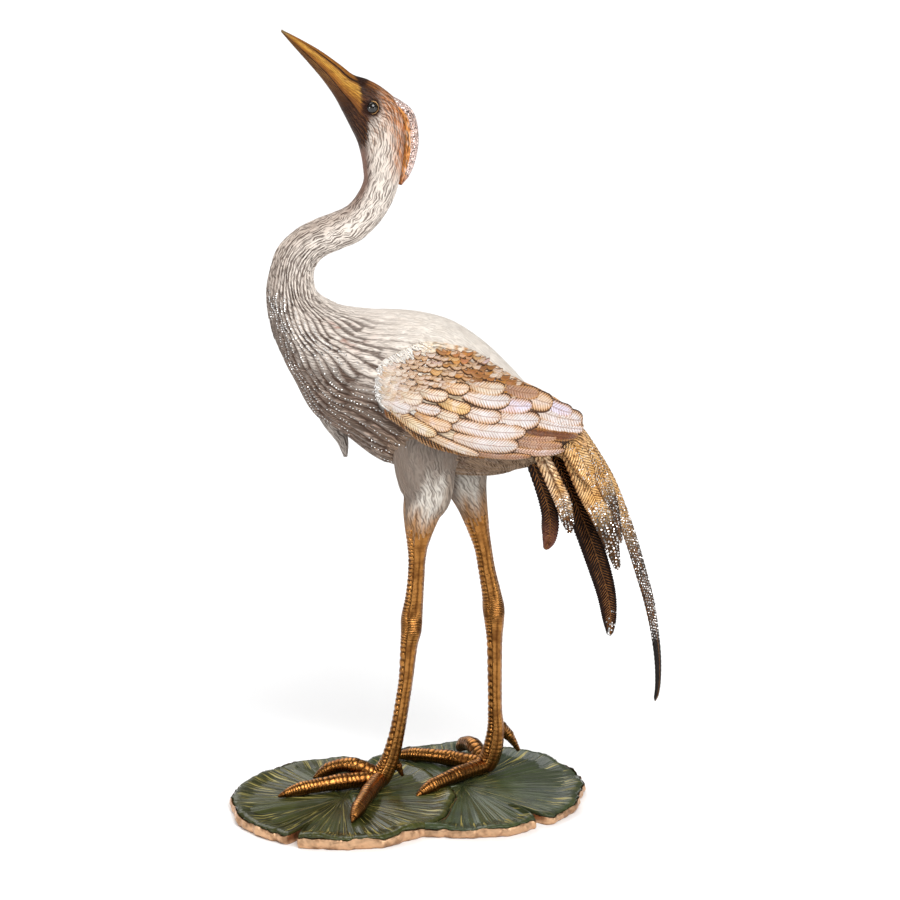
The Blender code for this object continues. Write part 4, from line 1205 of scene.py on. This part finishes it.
class CRANE_OT_legs(bpy.types.Operator):
    """Feathered thighs that run into banded, gilt legs, feet and claws"""

    bl_idname = "crane.legs"
    bl_label = "Legs"

    def execute(self, context):
        legs = (
            ("left", LEFT_LEG, LEFT_TOES, LEFT_HIND_TOE, 0.0),
            ("right", RIGHT_LEG, RIGHT_TOES, RIGHT_HIND_TOE, RIGHT_GROUND),
        )
        for name, rows, toes, hind, ground in legs:
            line = through(rows, 600)
            self.rows = line[line[:, 1] > THIGH_END - 9]
            thigh = limb(f"thigh_{name}", 120, 96, self.rows, self.plumage)
            finish(thigh, plumage_enamel())
            self.rows = line[line[:, 1] < THIGH_END + 28]
            self.length = np.linalg.norm(np.diff(self.rows[:, :3], axis=0), axis=1).sum() * SHARE
            gild(limb(f"leg_{name}", 430, 56, self.rows, self.banded))
            for i, (heading, reach, arch) in enumerate(toes):
                self.toe(f"toe_{name}_{i}", line[-1], ground, heading, reach, arch)
            self.hind_toe(f"toe_{name}_hind", *hind)
        return {"FINISHED"}

    def height_at(self, u):
        return np.interp(u, np.linspace(0, 1, len(self.rows)), self.rows[:, 1])

    def plumage(self, u, turn):
        """Silvery strokes with a painted highlight on the sides, brown at top and rim, ending in a ragged
        fringe over the gilt leg.
        """
        up = self.height_at(u)
        side = np.abs(np.sin(turn)) + 0.12 * noise(up * 0.07, turn * 4)
        torn = up + (12 * noise(turn * 5, 0.03 * up) + 8 * noise(turn * 13, 0.06 * up))
        front = smooth(0.1, -0.6, np.cos(turn))
        lock = np.abs(np.sin(turn * 8 + 0.05 * up + 0.8 * np.sin(0.045 * up)))
        tint = paint(
            coat(len(u), (0.31, 0.25, 0.20)),
            # silver on both sides of the thigh: its colour, and also a painted highlight
            (smooth(0.50, 0.98, side) * 0.85, (0.66, 0.62, 0.56)),
            (smooth(405 - 40 * front, 455 - 50 * front, torn) * 0.85, (0.15, 0.11, 0.085)),
            (smooth(THIGH_END + 60, THIGH_END + 16, torn) * 0.95, (0.34, 0.17, 0.065)),
            (smooth(0.4, 0.0, lock) * 0.55, (0.14, 0.10, 0.08)),
        )
        lift = 1.0 * lock - 0.2 - 3.2 * smooth(THIGH_END + 12, THIGH_END - 6, torn)
        return lift, np.column_stack([tint, 0.55 + 0 * u])

    def banded(self, u, turn):
        """Banded skin, with rings round the joint; its top is sunk inside the thigh."""
        up = self.height_at(u)
        joint = hill(226, 26, up)
        pitch = sizes().scute_pitch
        run = u * self.length
        relief = scutes(run, turn, pitch)
        rings = np.abs(np.sin(math.pi * run / (0.62 * pitch) + 0.4 * np.sin(3 * turn))) ** 0.5
        relief = relief * (1 - joint) + rings * joint
        tone = 0.13 + 0.87 * smooth(0.40, 0.95, relief)
        tone = tone + (0.85 - tone) * 0.6 * smooth(THIGH_END - 36, THIGH_END, up)
        tone = tone * (1 - 0.35 * smooth(0.2, 0.8, noise(up * 0.11, turn * 2.0)))
        sunk = 5 * smooth(THIGH_END + 14, THIGH_END + 27, up)
        return 1.9 * (relief - 0.65) - sunk, gilt_tint(tone, (0.80, 0.20), (0.60, 0.40))

    def toe(self, name, ankle, ground, heading, reach, arch):
        turn = math.radians(heading)
        way = np.array([math.cos(turn), math.sin(turn)])
        share, thick = through(TOE_SHAPE, 24).T
        lift = 0.72 * thick + arch * np.sin(math.pi * np.clip(share * 1.08, 0, 1))
        lift[-1] = 1.0
        x, y = ankle[0] + way[0] * share * reach, ankle[2] + way[1] * share * reach
        self.length = reach * SHARE
        rows = through(np.stack([x, ground + lift, y, thick, thick], 1), LIMB_STEPS)
        gild(limb(name, 176, 36, rows, self.banded_toe, side_way=(-way[1], way[0], 0)))

    def banded_toe(self, u, turn):
        """Plates across the top, small scales below, two knuckles and a fluted claw."""
        claw = smooth(0.84, 0.88, u)
        pitch = sizes().scute_pitch * 0.78
        run = u * self.length
        wander = 0.5 * np.sin(run / pitch * 0.8) + 0.45 * np.sin(2 * turn + run / pitch * 1.7)
        top = smooth(-0.25, 0.05, np.cos(turn))
        bands = np.abs(np.sin(math.pi * run / pitch + wander)) ** 0.35
        below = np.abs(np.sin(1.7 * math.pi * run / pitch + wander) * np.sin(4 * turn)) ** 0.5
        relief = bands * top + below * (1 - top)
        relief = relief * (1 - claw) + (0.85 - 0.25 * np.abs(np.sin(5 * turn))) * claw
        relief *= 1 - 0.9 * hill(0.855, 0.018, u)
        tone = 0.10 + 0.80 * smooth(0.35, 0.95, relief)
        tone = tone * (1 - 0.4 * smooth(0.1, 0.8, noise(run * 260, turn * 2)))
        knuckle = 0.9 * hill(0.30, 0.09, u) + 0.8 * hill(0.60, 0.08, u)
        return 1.0 * (relief - 0.75) + knuckle, gilt_tint(tone, (0.78, 0.20), (0.60, 0.35))

    def hind_toe(self, name, root, tip, thick):
        root, tip = np.array(root, float), np.array(tip, float)
        share = np.linspace(0, 1, 9)
        x, y, z = (root + (tip - root) * share[:, None]).T
        z = z + 0.16 * (root[2] - tip[2]) * np.sin(math.pi * share)
        size = thick * (1 - 0.72 * share**2)
        self.length = np.linalg.norm(tip - root) * SHARE
        rows = through(np.stack([x, z, y, size, size], 1), LIMB_STEPS)
        gild(limb(name, 84, 32, rows, self.banded_toe))


class CRANE_OT_tufts(bpy.types.Operator):
    """Crest on the back of the head and the tufts that hang from the breast"""

    bl_idname = "crane.tufts"
    bl_label = "Crest and tufts"

    def execute(self, context):
        for name, rows, surface in (
            ("crest", CREST, self.crest), ("tuft", TUFT, self.tuft), ("short_tuft", SHORT_TUFT, self.tuft),
        ):
            finish(limb_in_middle(name, 72, 40, rows, surface), plumage_enamel())
        return {"FINISHED"}

    def crest(self, u, turn):
        """Rose behind, orange strokes on the side towards the neck."""
        inner = smooth(0.42, 0.12, np.cos(turn) + 0.15 * noise(u * 14, turn * 3))
        strands = noise(u * 22 + turn * 3, turn * 9)
        light = smooth(0.10, 0.5, noise(u * 17 - turn * 4, turn * 7 + 3))
        tint = paint(
            coat(len(u), (0.66, 0.42, 0.33)),
            (inner, (0.70, 0.30, 0.085)),
            (smooth(0.05, 0.5, strands) * (0.35 + 0.55 * inner), (0.28, 0.075, 0.022)),
            (light * 0.7, (0.78, 0.64, 0.52)),
            (smooth(0.72, 1.0, u) * 0.6, colours().rust),
        )
        return 0.8 * strands, np.column_stack([tint, 0.8 + 0 * u])

    def tuft(self, u, turn):
        """Grey brown with pale ridges."""
        ridges = np.abs(np.sin(turn * 6 + 3 * u))
        tint = paint(coat(len(u), (0.27, 0.23, 0.20)), (ridges * 0.5, (0.52, 0.47, 0.43)))
        return 0.9 * ridges - 0.5, np.column_stack([tint, 0.7 + 0 * u])


class CRANE_OT_eyes(bpy.types.Operator):
    """Black glass beads in gilt rings"""

    bl_idname = "crane.eyes"
    bl_label = "Eyes"

    def execute(self, context):
        for name, side in (("left", -1), ("right", 1)):
            node = f"eye_{name}"
            low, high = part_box(node)
            centre = (low + high) / 2
            radius = 1.10 * (high.z - low.z) / 2
            self.bead(name, node, centre, radius)
            self.ring(name, centre, radius, Vector((-0.12, side, 0.18)).normalized())
        return {"FINISHED"}

    def bead(self, name, node, centre, radius):
        deselect()
        bpy.ops.mesh.primitive_uv_sphere_add(segments=48, ring_count=32, radius=radius, location=centre)
        bpy.ops.object.transform_apply(location=True, rotation=True, scale=True)
        bead = bpy.context.object
        bead.name = f"eyeball_{name}"
        bpy.ops.object.shade_smooth()
        finish(bead, jet_glass(), [node])

    def ring(self, name, centre, radius, out):
        deselect()
        bpy.ops.mesh.primitive_torus_add(
            major_radius=radius * 1.05, minor_radius=radius * 0.085, major_segments=64, minor_segments=16,
        )
        ring = bpy.context.object
        ring.name = f"eye_ring_{name}"
        turned = out.to_track_quat("Z", "Y").to_matrix().to_4x4()
        ring.data.transform(Matrix.Translation(centre + out * radius * 0.30) @ turned)
        dress(ring.data, tint=np.ones((len(ring.data.vertices), 4)))
        bpy.ops.object.shade_smooth()
        finish(ring, gilding("ring gilding", (0.42, 0.24, 0.10), 0.3))


def pad_rim(radius, notch, turn):
    """Distance of a pad's rim from its middle at each angle: shallow scallops and one narrow notch."""
    scallop = 1 + 0.010 * np.sin(9 * turn) + 0.009 * np.sin(16 * turn + 1.3)
    scallop = scallop + 0.004 * np.sin(41 * turn) + 0.003 * np.sin(67 * turn + 0.6)
    off = (turn - notch + math.pi) % (2 * math.pi) - math.pi
    slit = 1 - 0.30 * np.exp(-((off / 0.035) ** 2))
    return radius * scallop * slit - 0.0004


def round_pad(notch, v):
    """Angles round a pad from its notch, closest together there."""
    return notch + 2 * math.pi * v - 0.7 * np.sin(2 * math.pi * v)


def ring_at(middle, out, turn, up):
    """World places at a distance out from a pad's middle, at each angle and height."""
    return np.stack([middle[0] + out * np.cos(turn), middle[1] + out * np.sin(turn), up], 1)


class CRANE_OT_pads(bpy.types.Operator):
    """Two overlapping lily pads, pleated and enamelled, with a gilt edge"""

    bl_idname = "crane.pads"
    bl_label = "Pads"

    def execute(self, context):
        for name, values in PADS.items():
            self.values = values
            self.leaf(name)
            self.edge(name)
        return {"FINISHED"}

    def leaf(self, name):
        """A pad's upper face out to the rim, then its lower face back towards the middle."""
        middle, _, _, notch = self.values
        tone, crest = PAD_TINTS[name]
        piece, u, v = grid(f"pad_{name}", 80, 480)
        turn = round_pad(notch, v)
        share = np.clip(u / UPPER_ROWS, 0, 1)
        under = np.clip((u - UPPER_ROWS) / (1 - UPPER_ROWS), 0, 1)
        points, pleat = self.top(turn, share)
        middle = np.array(middle)
        points[:, :2] = middle + (points[:, :2] - middle) * (1 - 0.97 * under)[:, None]
        points[:, 2] += 0.0008 * np.sin(math.pi * under)
        green = 0.5 + 0.5 * noise(turn * 2.2, share * 2.5)
        near_rim = smooth(0.88, 1.0, share + 0.04 * noise(turn * 7, share * 3))
        tint = paint(
            coat(len(u), np.array(colours().leaf[:]) * tone),
            # painted light on the pleats' crests and painted shade in their valleys
            (smooth(0.55, 1.0, pleat) * 0.6, crest),
            (smooth(0.4, 0.0, pleat) * 0.8, (0.004, 0.006, 0.003)),
            # painted highlight: a lighter green towards the rim where it rolls over
            (near_rim * 0.3, (0.034, 0.044, 0.012)),
            (green * 0.35, (0.038, 0.040, 0.014)),
        )
        ink = (0.45 + 0.5 * smooth(0.05, 0.4, share)) * smooth(1.0, 0.86, share)
        dress(piece.data, points, np.stack([turn, share], 1), np.column_stack([tint, ink]))
        close(piece)
        finish(piece, pad_enamel(), ["lily_pads"] if name == "left" else ())

    def top(self, turn, share):
        """Points of the pad's upper face and the height of its pleats from 0 to 1."""
        middle, radius, height, notch = self.values
        rim = pad_rim(radius, notch, turn)
        wave = np.sin(7 * turn + radius * 100) + 0.6 * np.sin(13 * turn) + 0.3 * noise(turn * 19, 0 * turn)
        rise = smooth(0.78, 0.96, share)
        uneven = 0.6 + 0.4 * noise(turn * 6.1, 0 * turn)
        pleat = np.abs(np.sin(PLEATS / 2 * turn + 0.7 * np.sin(5 * turn) + 0.4 * np.sin(11 * turn)))
        fine = np.abs(np.sin(PLEATS * turn + 1.1 * np.sin(3 * turn) + 0.5 * np.sin(17 * turn)))
        relief = pleat * uneven * (1 - 0.45 * share) + fine * 0.5 * share
        relief = relief + (0.7 - relief) * 0.85 * smooth(0.84, 0.96, share)
        up = height + (RIM_RISE + RIM_WAVE * wave) * rise
        up = up - PLEAT_DEPTH * (1 - relief) * smooth(0.04, 0.3, share) - 0.0003
        roll = np.clip((share - 0.955) / 0.045, 0, 1)
        up = up - (up - self.boundary(turn)) * (1 - np.sqrt(1 - roll**2))
        way = share - 0.012 * np.clip((share - 0.9) / 0.1, 0, 1) * (1 - roll**2)
        return ring_at(middle, rim * way, turn, up), relief

    def boundary(self, turn):
        """Height at which the enamel ends and the gilt edge starts, wavy along the rim."""
        waves = ((4.1, 0.22), (13, 0.14), (43, 0.06))
        wave = sum(much * noise(turn * often, 0 * turn) for often, much in waves)
        return self.values[2] * np.clip(0.76 + wave, 0.40, 1.05)

    def edge(self, name):
        """The gilt band along a pad's rim, open on the side that lies inside the pad."""
        middle, radius, _, notch = self.values
        piece, u, v = grid(f"pad_{name}_edge", 16, 480)
        turn = round_pad(notch, v)
        tall = self.boundary(turn) + 0.0008
        outer = np.clip(u / 0.45, 0, 1)
        inner = np.clip((u - 0.5) / 0.5, 0, 1)
        belly = 0.0005 * np.sin(math.pi * outer)
        out = pad_rim(radius, notch, turn) + 0.0003 + belly
        out = out - 0.0012 * smooth(0.7, 1, outer) - 0.005 * inner
        up = np.where(u < 0.5, tall * (1 - outer), (tall - 0.0010) * smooth(0, 1, inner))
        uneven = 0.0004 * noise(turn * 29, up * 500)
        out = out + np.where(u < 0.5, uneven, 0)
        tone = 0.90 + 0.10 * noise(turn * 33, up * 900)
        # painted shade: the band darkens towards its foot where it meets the floor
        tone = tone * (1 - 0.5 * smooth(0.0012, 0.0, up))
        flow = np.stack([turn * radius, up], 1) * 100
        dress(piece.data, ring_at(middle, out, turn, up), flow, gilt_tint(tone, (1, 0), (1, 0)))
        close(piece)
        finish(piece, gilding("rim gilding", colours().rim_gilt, 0.32))


# Stones


def stone_pattern():
    """A cut stone: a six-sided crown with a flat table, radius 1."""
    deselect()
    bpy.ops.mesh.primitive_cone_add(
        vertices=6, radius1=1.0, radius2=0.52, depth=0.55, location=(0, 0, 0.15),
    )
    piece = bpy.context.object
    bpy.ops.object.transform_apply(location=True, rotation=True, scale=True)
    points = vertices_of(piece.data)
    faces = [tuple(p.vertices) for p in piece.data.polygons]
    bpy.data.objects.remove(piece)
    return points, faces


def set_stones(name, places, normals, radii, colour, rng, dark=0.22):
    """One piece of many stones, each seated on a surface and turned at random round its normal."""
    template, faces = stone_pattern()
    places = np.asarray(places, float)
    normals = unit(np.asarray(normals, float) + rng.normal(0, 0.10, (len(places), 3)))
    radii = np.broadcast_to(np.asarray(radii, float), (len(places),))
    helper = np.where(np.abs(normals[:, 2:3]) < 0.8, [[0.0, 0.0, 1.0]], [[1.0, 0.0, 0.0]])
    one = unit(np.cross(normals, helper))
    other = np.cross(normals, one)
    spin = rng.uniform(0, math.pi, len(places))[:, None]
    first = one * np.cos(spin) + other * np.sin(spin)
    second = other * np.cos(spin) - one * np.sin(spin)
    local = template[None] * radii[:, None, None]
    points = places[:, None] + sum(
        local[..., i : i + 1] * way[:, None] for i, way in enumerate((first, second, normals))
    )
    mesh = bpy.data.meshes.new(name)
    count = len(template)
    every = [tuple(i + k * count for i in face) for k in range(len(places)) for face in faces]
    mesh.from_pydata(points.reshape(-1, 3).tolist(), [], every)
    # painted reflection: each stone gets one of four tones, so some look dark and some bright as if their
    # facets flashed
    light = 0.5 - dark
    tones = rng.choice([0.16, 0.45, 0.85, 1.0], len(places), p=[dark, dark, light, light])
    dress(mesh, tint=gilt_tint(np.repeat(tones, count), (1, 0), (1, 0)))
    piece = bpy.data.objects.new(name, mesh)
    bpy.context.scene.collection.objects.link(piece)
    return finish(piece, stone_glass(*colour))


def spread(rng, x_range, y_range, pitch, keep=1.0):
    """Places on a rough honeycomb over a rectangle."""
    made = []
    for k, y in enumerate(np.arange(*y_range, pitch * 0.87)):
        for x in np.arange(x_range[0] + pitch / 2 * (k % 2), x_range[1], pitch):
            if rng.random() < keep:
                made.append((x + rng.normal(0, 0.10 * pitch), y + rng.normal(0, 0.10 * pitch)))
    return np.array(made)


class CRANE_OT_stones(bpy.types.Operator):
    """Stones set on the crest, breast, wings and tail"""

    bl_idname = "crane.stones"
    bl_label = "Stones"

    def execute(self, context):
        rng = np.random.default_rng(11)
        radius = sizes().stone / 2
        clear = ("clear stone", (0.95, 0.93, 0.91), 0.6)
        rose = ("rose stone", (0.86, 0.66, 0.60), 0.5)
        self.crest(rng, radius * 0.55, rose)
        self.breast(rng, radius * 0.60, clear)
        self.wings(rng, radius * 0.50, ("cream stone", (0.98, 0.95, 0.92), 0.2))
        self.tail(rng, radius * 0.80, clear)
        return {"FINISHED"}

    def crest(self, rng, radius, colour):
        rows = through(CREST, 200)
        at = spread(rng, (0, 1), (0, 1), 0.024)
        share, turn = 0.03 + 0.82 * at[:, 0], (at[:, 1] - 0.5) * 2.9
        x, z, deep, wide = np.moveaxis(read(rows, share), -1, 0)
        ahead = read(np.gradient(rows, axis=0), share)
        tangent = unit(np.stack([ahead[:, 0], 0 * share, ahead[:, 1]], 1))
        side = np.tile([0.0, 1.0, 0.0], (len(share), 1))
        back = -np.cross(tangent, side)
        back = back * np.sign(back[:, :1])
        normal = back * np.cos(turn)[:, None] + side * np.sin(turn)[:, None]
        points = np.stack([x, 0 * x, z], 1) + back * (np.cos(turn) * deep)[:, None]
        points = points + side * (np.sin(turn) * wide)[:, None]
        set_stones("stones_crest", on_figure(points), normal, radius, colour, rng)

    def breast(self, rng, radius, colour):
        """Rows of small stones along the crests of some of the breast's locks."""
        places, normals = [], []
        count = sizes().lock_count
        step = 2 * math.pi / count
        for side in (-1, 1):
            for lane in range(count // 5, count // 2):
                row = np.arange(17.4 + 0.25 * (lane % 3), 24.6, 0.085)
                row = row[noise(row * 1.5 + lane * 2.1, row * 0 + lane) > -0.22]
                turn = (lane + 0.5) * step + 0 * row
                for _ in range(SWING_STEPS):
                    turn = (lane + 0.5 - lock_swing(row, turn, side)) * step
                turn = turn + rng.normal(0, 0.010, len(row))
                angle = np.degrees(turn)
                kept = (angle > 76) & (angle < 158) & (rng.random(len(row)) < 0.8)
                row, turn = row[kept], turn[kept]
                locks = lock_relief(row, turn, side + 0 * row)
                lift = sizes().lock_depth / SHARE * (locks - 0.5) + 0.35
                points = trunk_point(row / LAST_ROW, side * turn, lift)
                places.append(on_figure(points))
                normals.append(unit(points - trunk_point(row / LAST_ROW, side * turn, -9.0)))
        places, normals = np.concatenate(places), np.concatenate(normals)
        set_stones("stones_breast", places, normals, radius, colour, rng, 0.05)

    def wings(self, rng, radius, colour):
        for side, name in ((-1, "left"), (1, "right")):
            at = spread(rng, (0, 1), (0, 1), 0.027)
            along = -43 + 103 * at[:, 0]
            top, low = wing_edges(along)
            up = low + (top - low) * (0.12 + 0.86 * at[:, 1])
            chance = smooth(46, 4, along + 46 * (0.5 - np.abs(at[:, 1] - 0.5))) * 0.92
            kept = rng.random(len(along)) < chance
            points, normal = on_wing(side, along[kept], up[kept], 1.0 + 0 * along[kept])
            set_stones(f"stones_wing_{name}", on_figure(points), normal, radius, colour, rng, 0.02)

    def tail(self, rng, radius, colour):
        made = []
        for i, (start, stop, reach, keep, size) in PLUME_STONES.items():
            line, y0, y1, facing, twin, _ = PLUMES[i]
            wide_at = [row[2] for row in line]
            for side in (1, -1) if twin else (1,):
                length = np.linalg.norm(np.diff(np.array(line)[:, :2], axis=0), axis=1).sum()
                half = reach * max(wide_at)
                pitch = STONE_PITCH * radius * size / SHARE
                at = spread(rng, (start * length, stop * length), (-half, half), pitch, keep)
                along = np.clip(at[:, 0] / length, 0, 0.995)
                across = at[:, 1] / np.interp(along, np.linspace(0, 1, len(line)), wide_at)
                kept = np.abs(across) < 0.93
                around = np.arccos(across[kept]) / (2 * math.pi)
                points, normal, _, _ = blade(line, y0, y1, facing, side, along[kept], around)
                made.append((on_figure(points), normal, np.full(len(points), radius * size)))
        places, normals, radii = (np.concatenate(column) for column in zip(*made))
        set_stones("stones_tail", places, normals, radii, colour, rng)


# Stage


class CRANE_OT_stage(bpy.types.Operator):
    """Pale floor, soft lights and the camera at the photograph's viewing angle"""

    bl_idname = "crane.stage"
    bl_label = "Stage"

    def execute(self, context):
        deselect()
        bpy.ops.mesh.primitive_plane_add(size=80)
        floor = bpy.context.object
        floor.name = "floor"
        made, _, shader = material("pale floor")
        set_on(shader, Base_Color=(0.86, 0.86, 0.86, 1), Roughness=0.6)
        floor.data.materials.append(made)
        context.scene.world = self.studio()
        context.scene.view_settings.view_transform = "Standard"
        for name, kind, place, size, power in LAMPS:
            bpy.ops.object.light_add(type=kind, location=place)
            lamp = bpy.context.object
            lamp.name = name
            lamp.data.energy = power
            setattr(lamp.data, "angle" if kind == "SUN" else "size", size)
            lamp.rotation_euler = (LAMP_AIM - Vector(place)).to_track_quat("-Z", "Y").to_euler()
        tilt = math.radians(90 - CAMERA_DOWN)
        bpy.ops.object.camera_add(location=CAMERA_PLACE, rotation=(tilt, 0, 0))
        camera = bpy.context.object
        camera.data.lens = CAMERA_LENS
        camera.data.sensor_width = 36
        context.scene.camera = camera
        return {"FINISHED"}

    def studio(self):
        """A world that the camera sees as white and that lights the figure faintly."""
        world = bpy.data.worlds.new("studio")
        world.use_nodes = True
        tree = world.node_tree
        sky = tree.nodes["Background"]
        sky.inputs["Color"].default_value = (1, 1, 1, 1)
        seen = add(tree, "ShaderNodeLightPath").outputs["Is Camera Ray"]
        strength = ramp(tree, seen, 0.0, 1.0, SKY_LIGHT, 1.0)
        tree.links.new(strength, sky.inputs["Strength"])
        return world


class CRANE_PT_panel(bpy.types.Panel):
    """Lists the pieces of the crane"""

    bl_idname = "CRANE_PT_panel"
    bl_label = "Crane"
    bl_space_type = "VIEW_3D"
    bl_region_type = "UI"
    bl_category = "Crane"

    def draw(self, context):
        for step in STEPS:
            self.layout.operator(step.bl_idname)
        for group in (context.scene.crane_colours, context.scene.crane_sizes):
            for name in group.bl_rna.properties.keys():
                if name not in ("rna_type", "name"):
                    self.layout.prop(group, name)


STEPS = (
    CRANE_OT_stage, CRANE_OT_body, CRANE_OT_wings, CRANE_OT_tail, CRANE_OT_legs,
    CRANE_OT_tufts, CRANE_OT_eyes, CRANE_OT_pads, CRANE_OT_stones,
)


def register():
    for made in (CraneColours, CraneSizes, *STEPS, CRANE_PT_panel):
        bpy.utils.register_class(made)
    bpy.types.Scene.crane_colours = PointerProperty(type=CraneColours)
    bpy.types.Scene.crane_sizes = PointerProperty(type=CraneSizes)


def unregister():
    del bpy.types.Scene.crane_sizes
    del bpy.types.Scene.crane_colours
    for made in reversed((CraneColours, CraneSizes, *STEPS, CRANE_PT_panel)):
        bpy.utils.unregister_class(made)


def main():
    register()
    for step in STEPS:
        group, name = step.bl_idname.split(".")
        getattr(getattr(bpy.ops, group), name)()


if __name__ == "__main__":
    main()
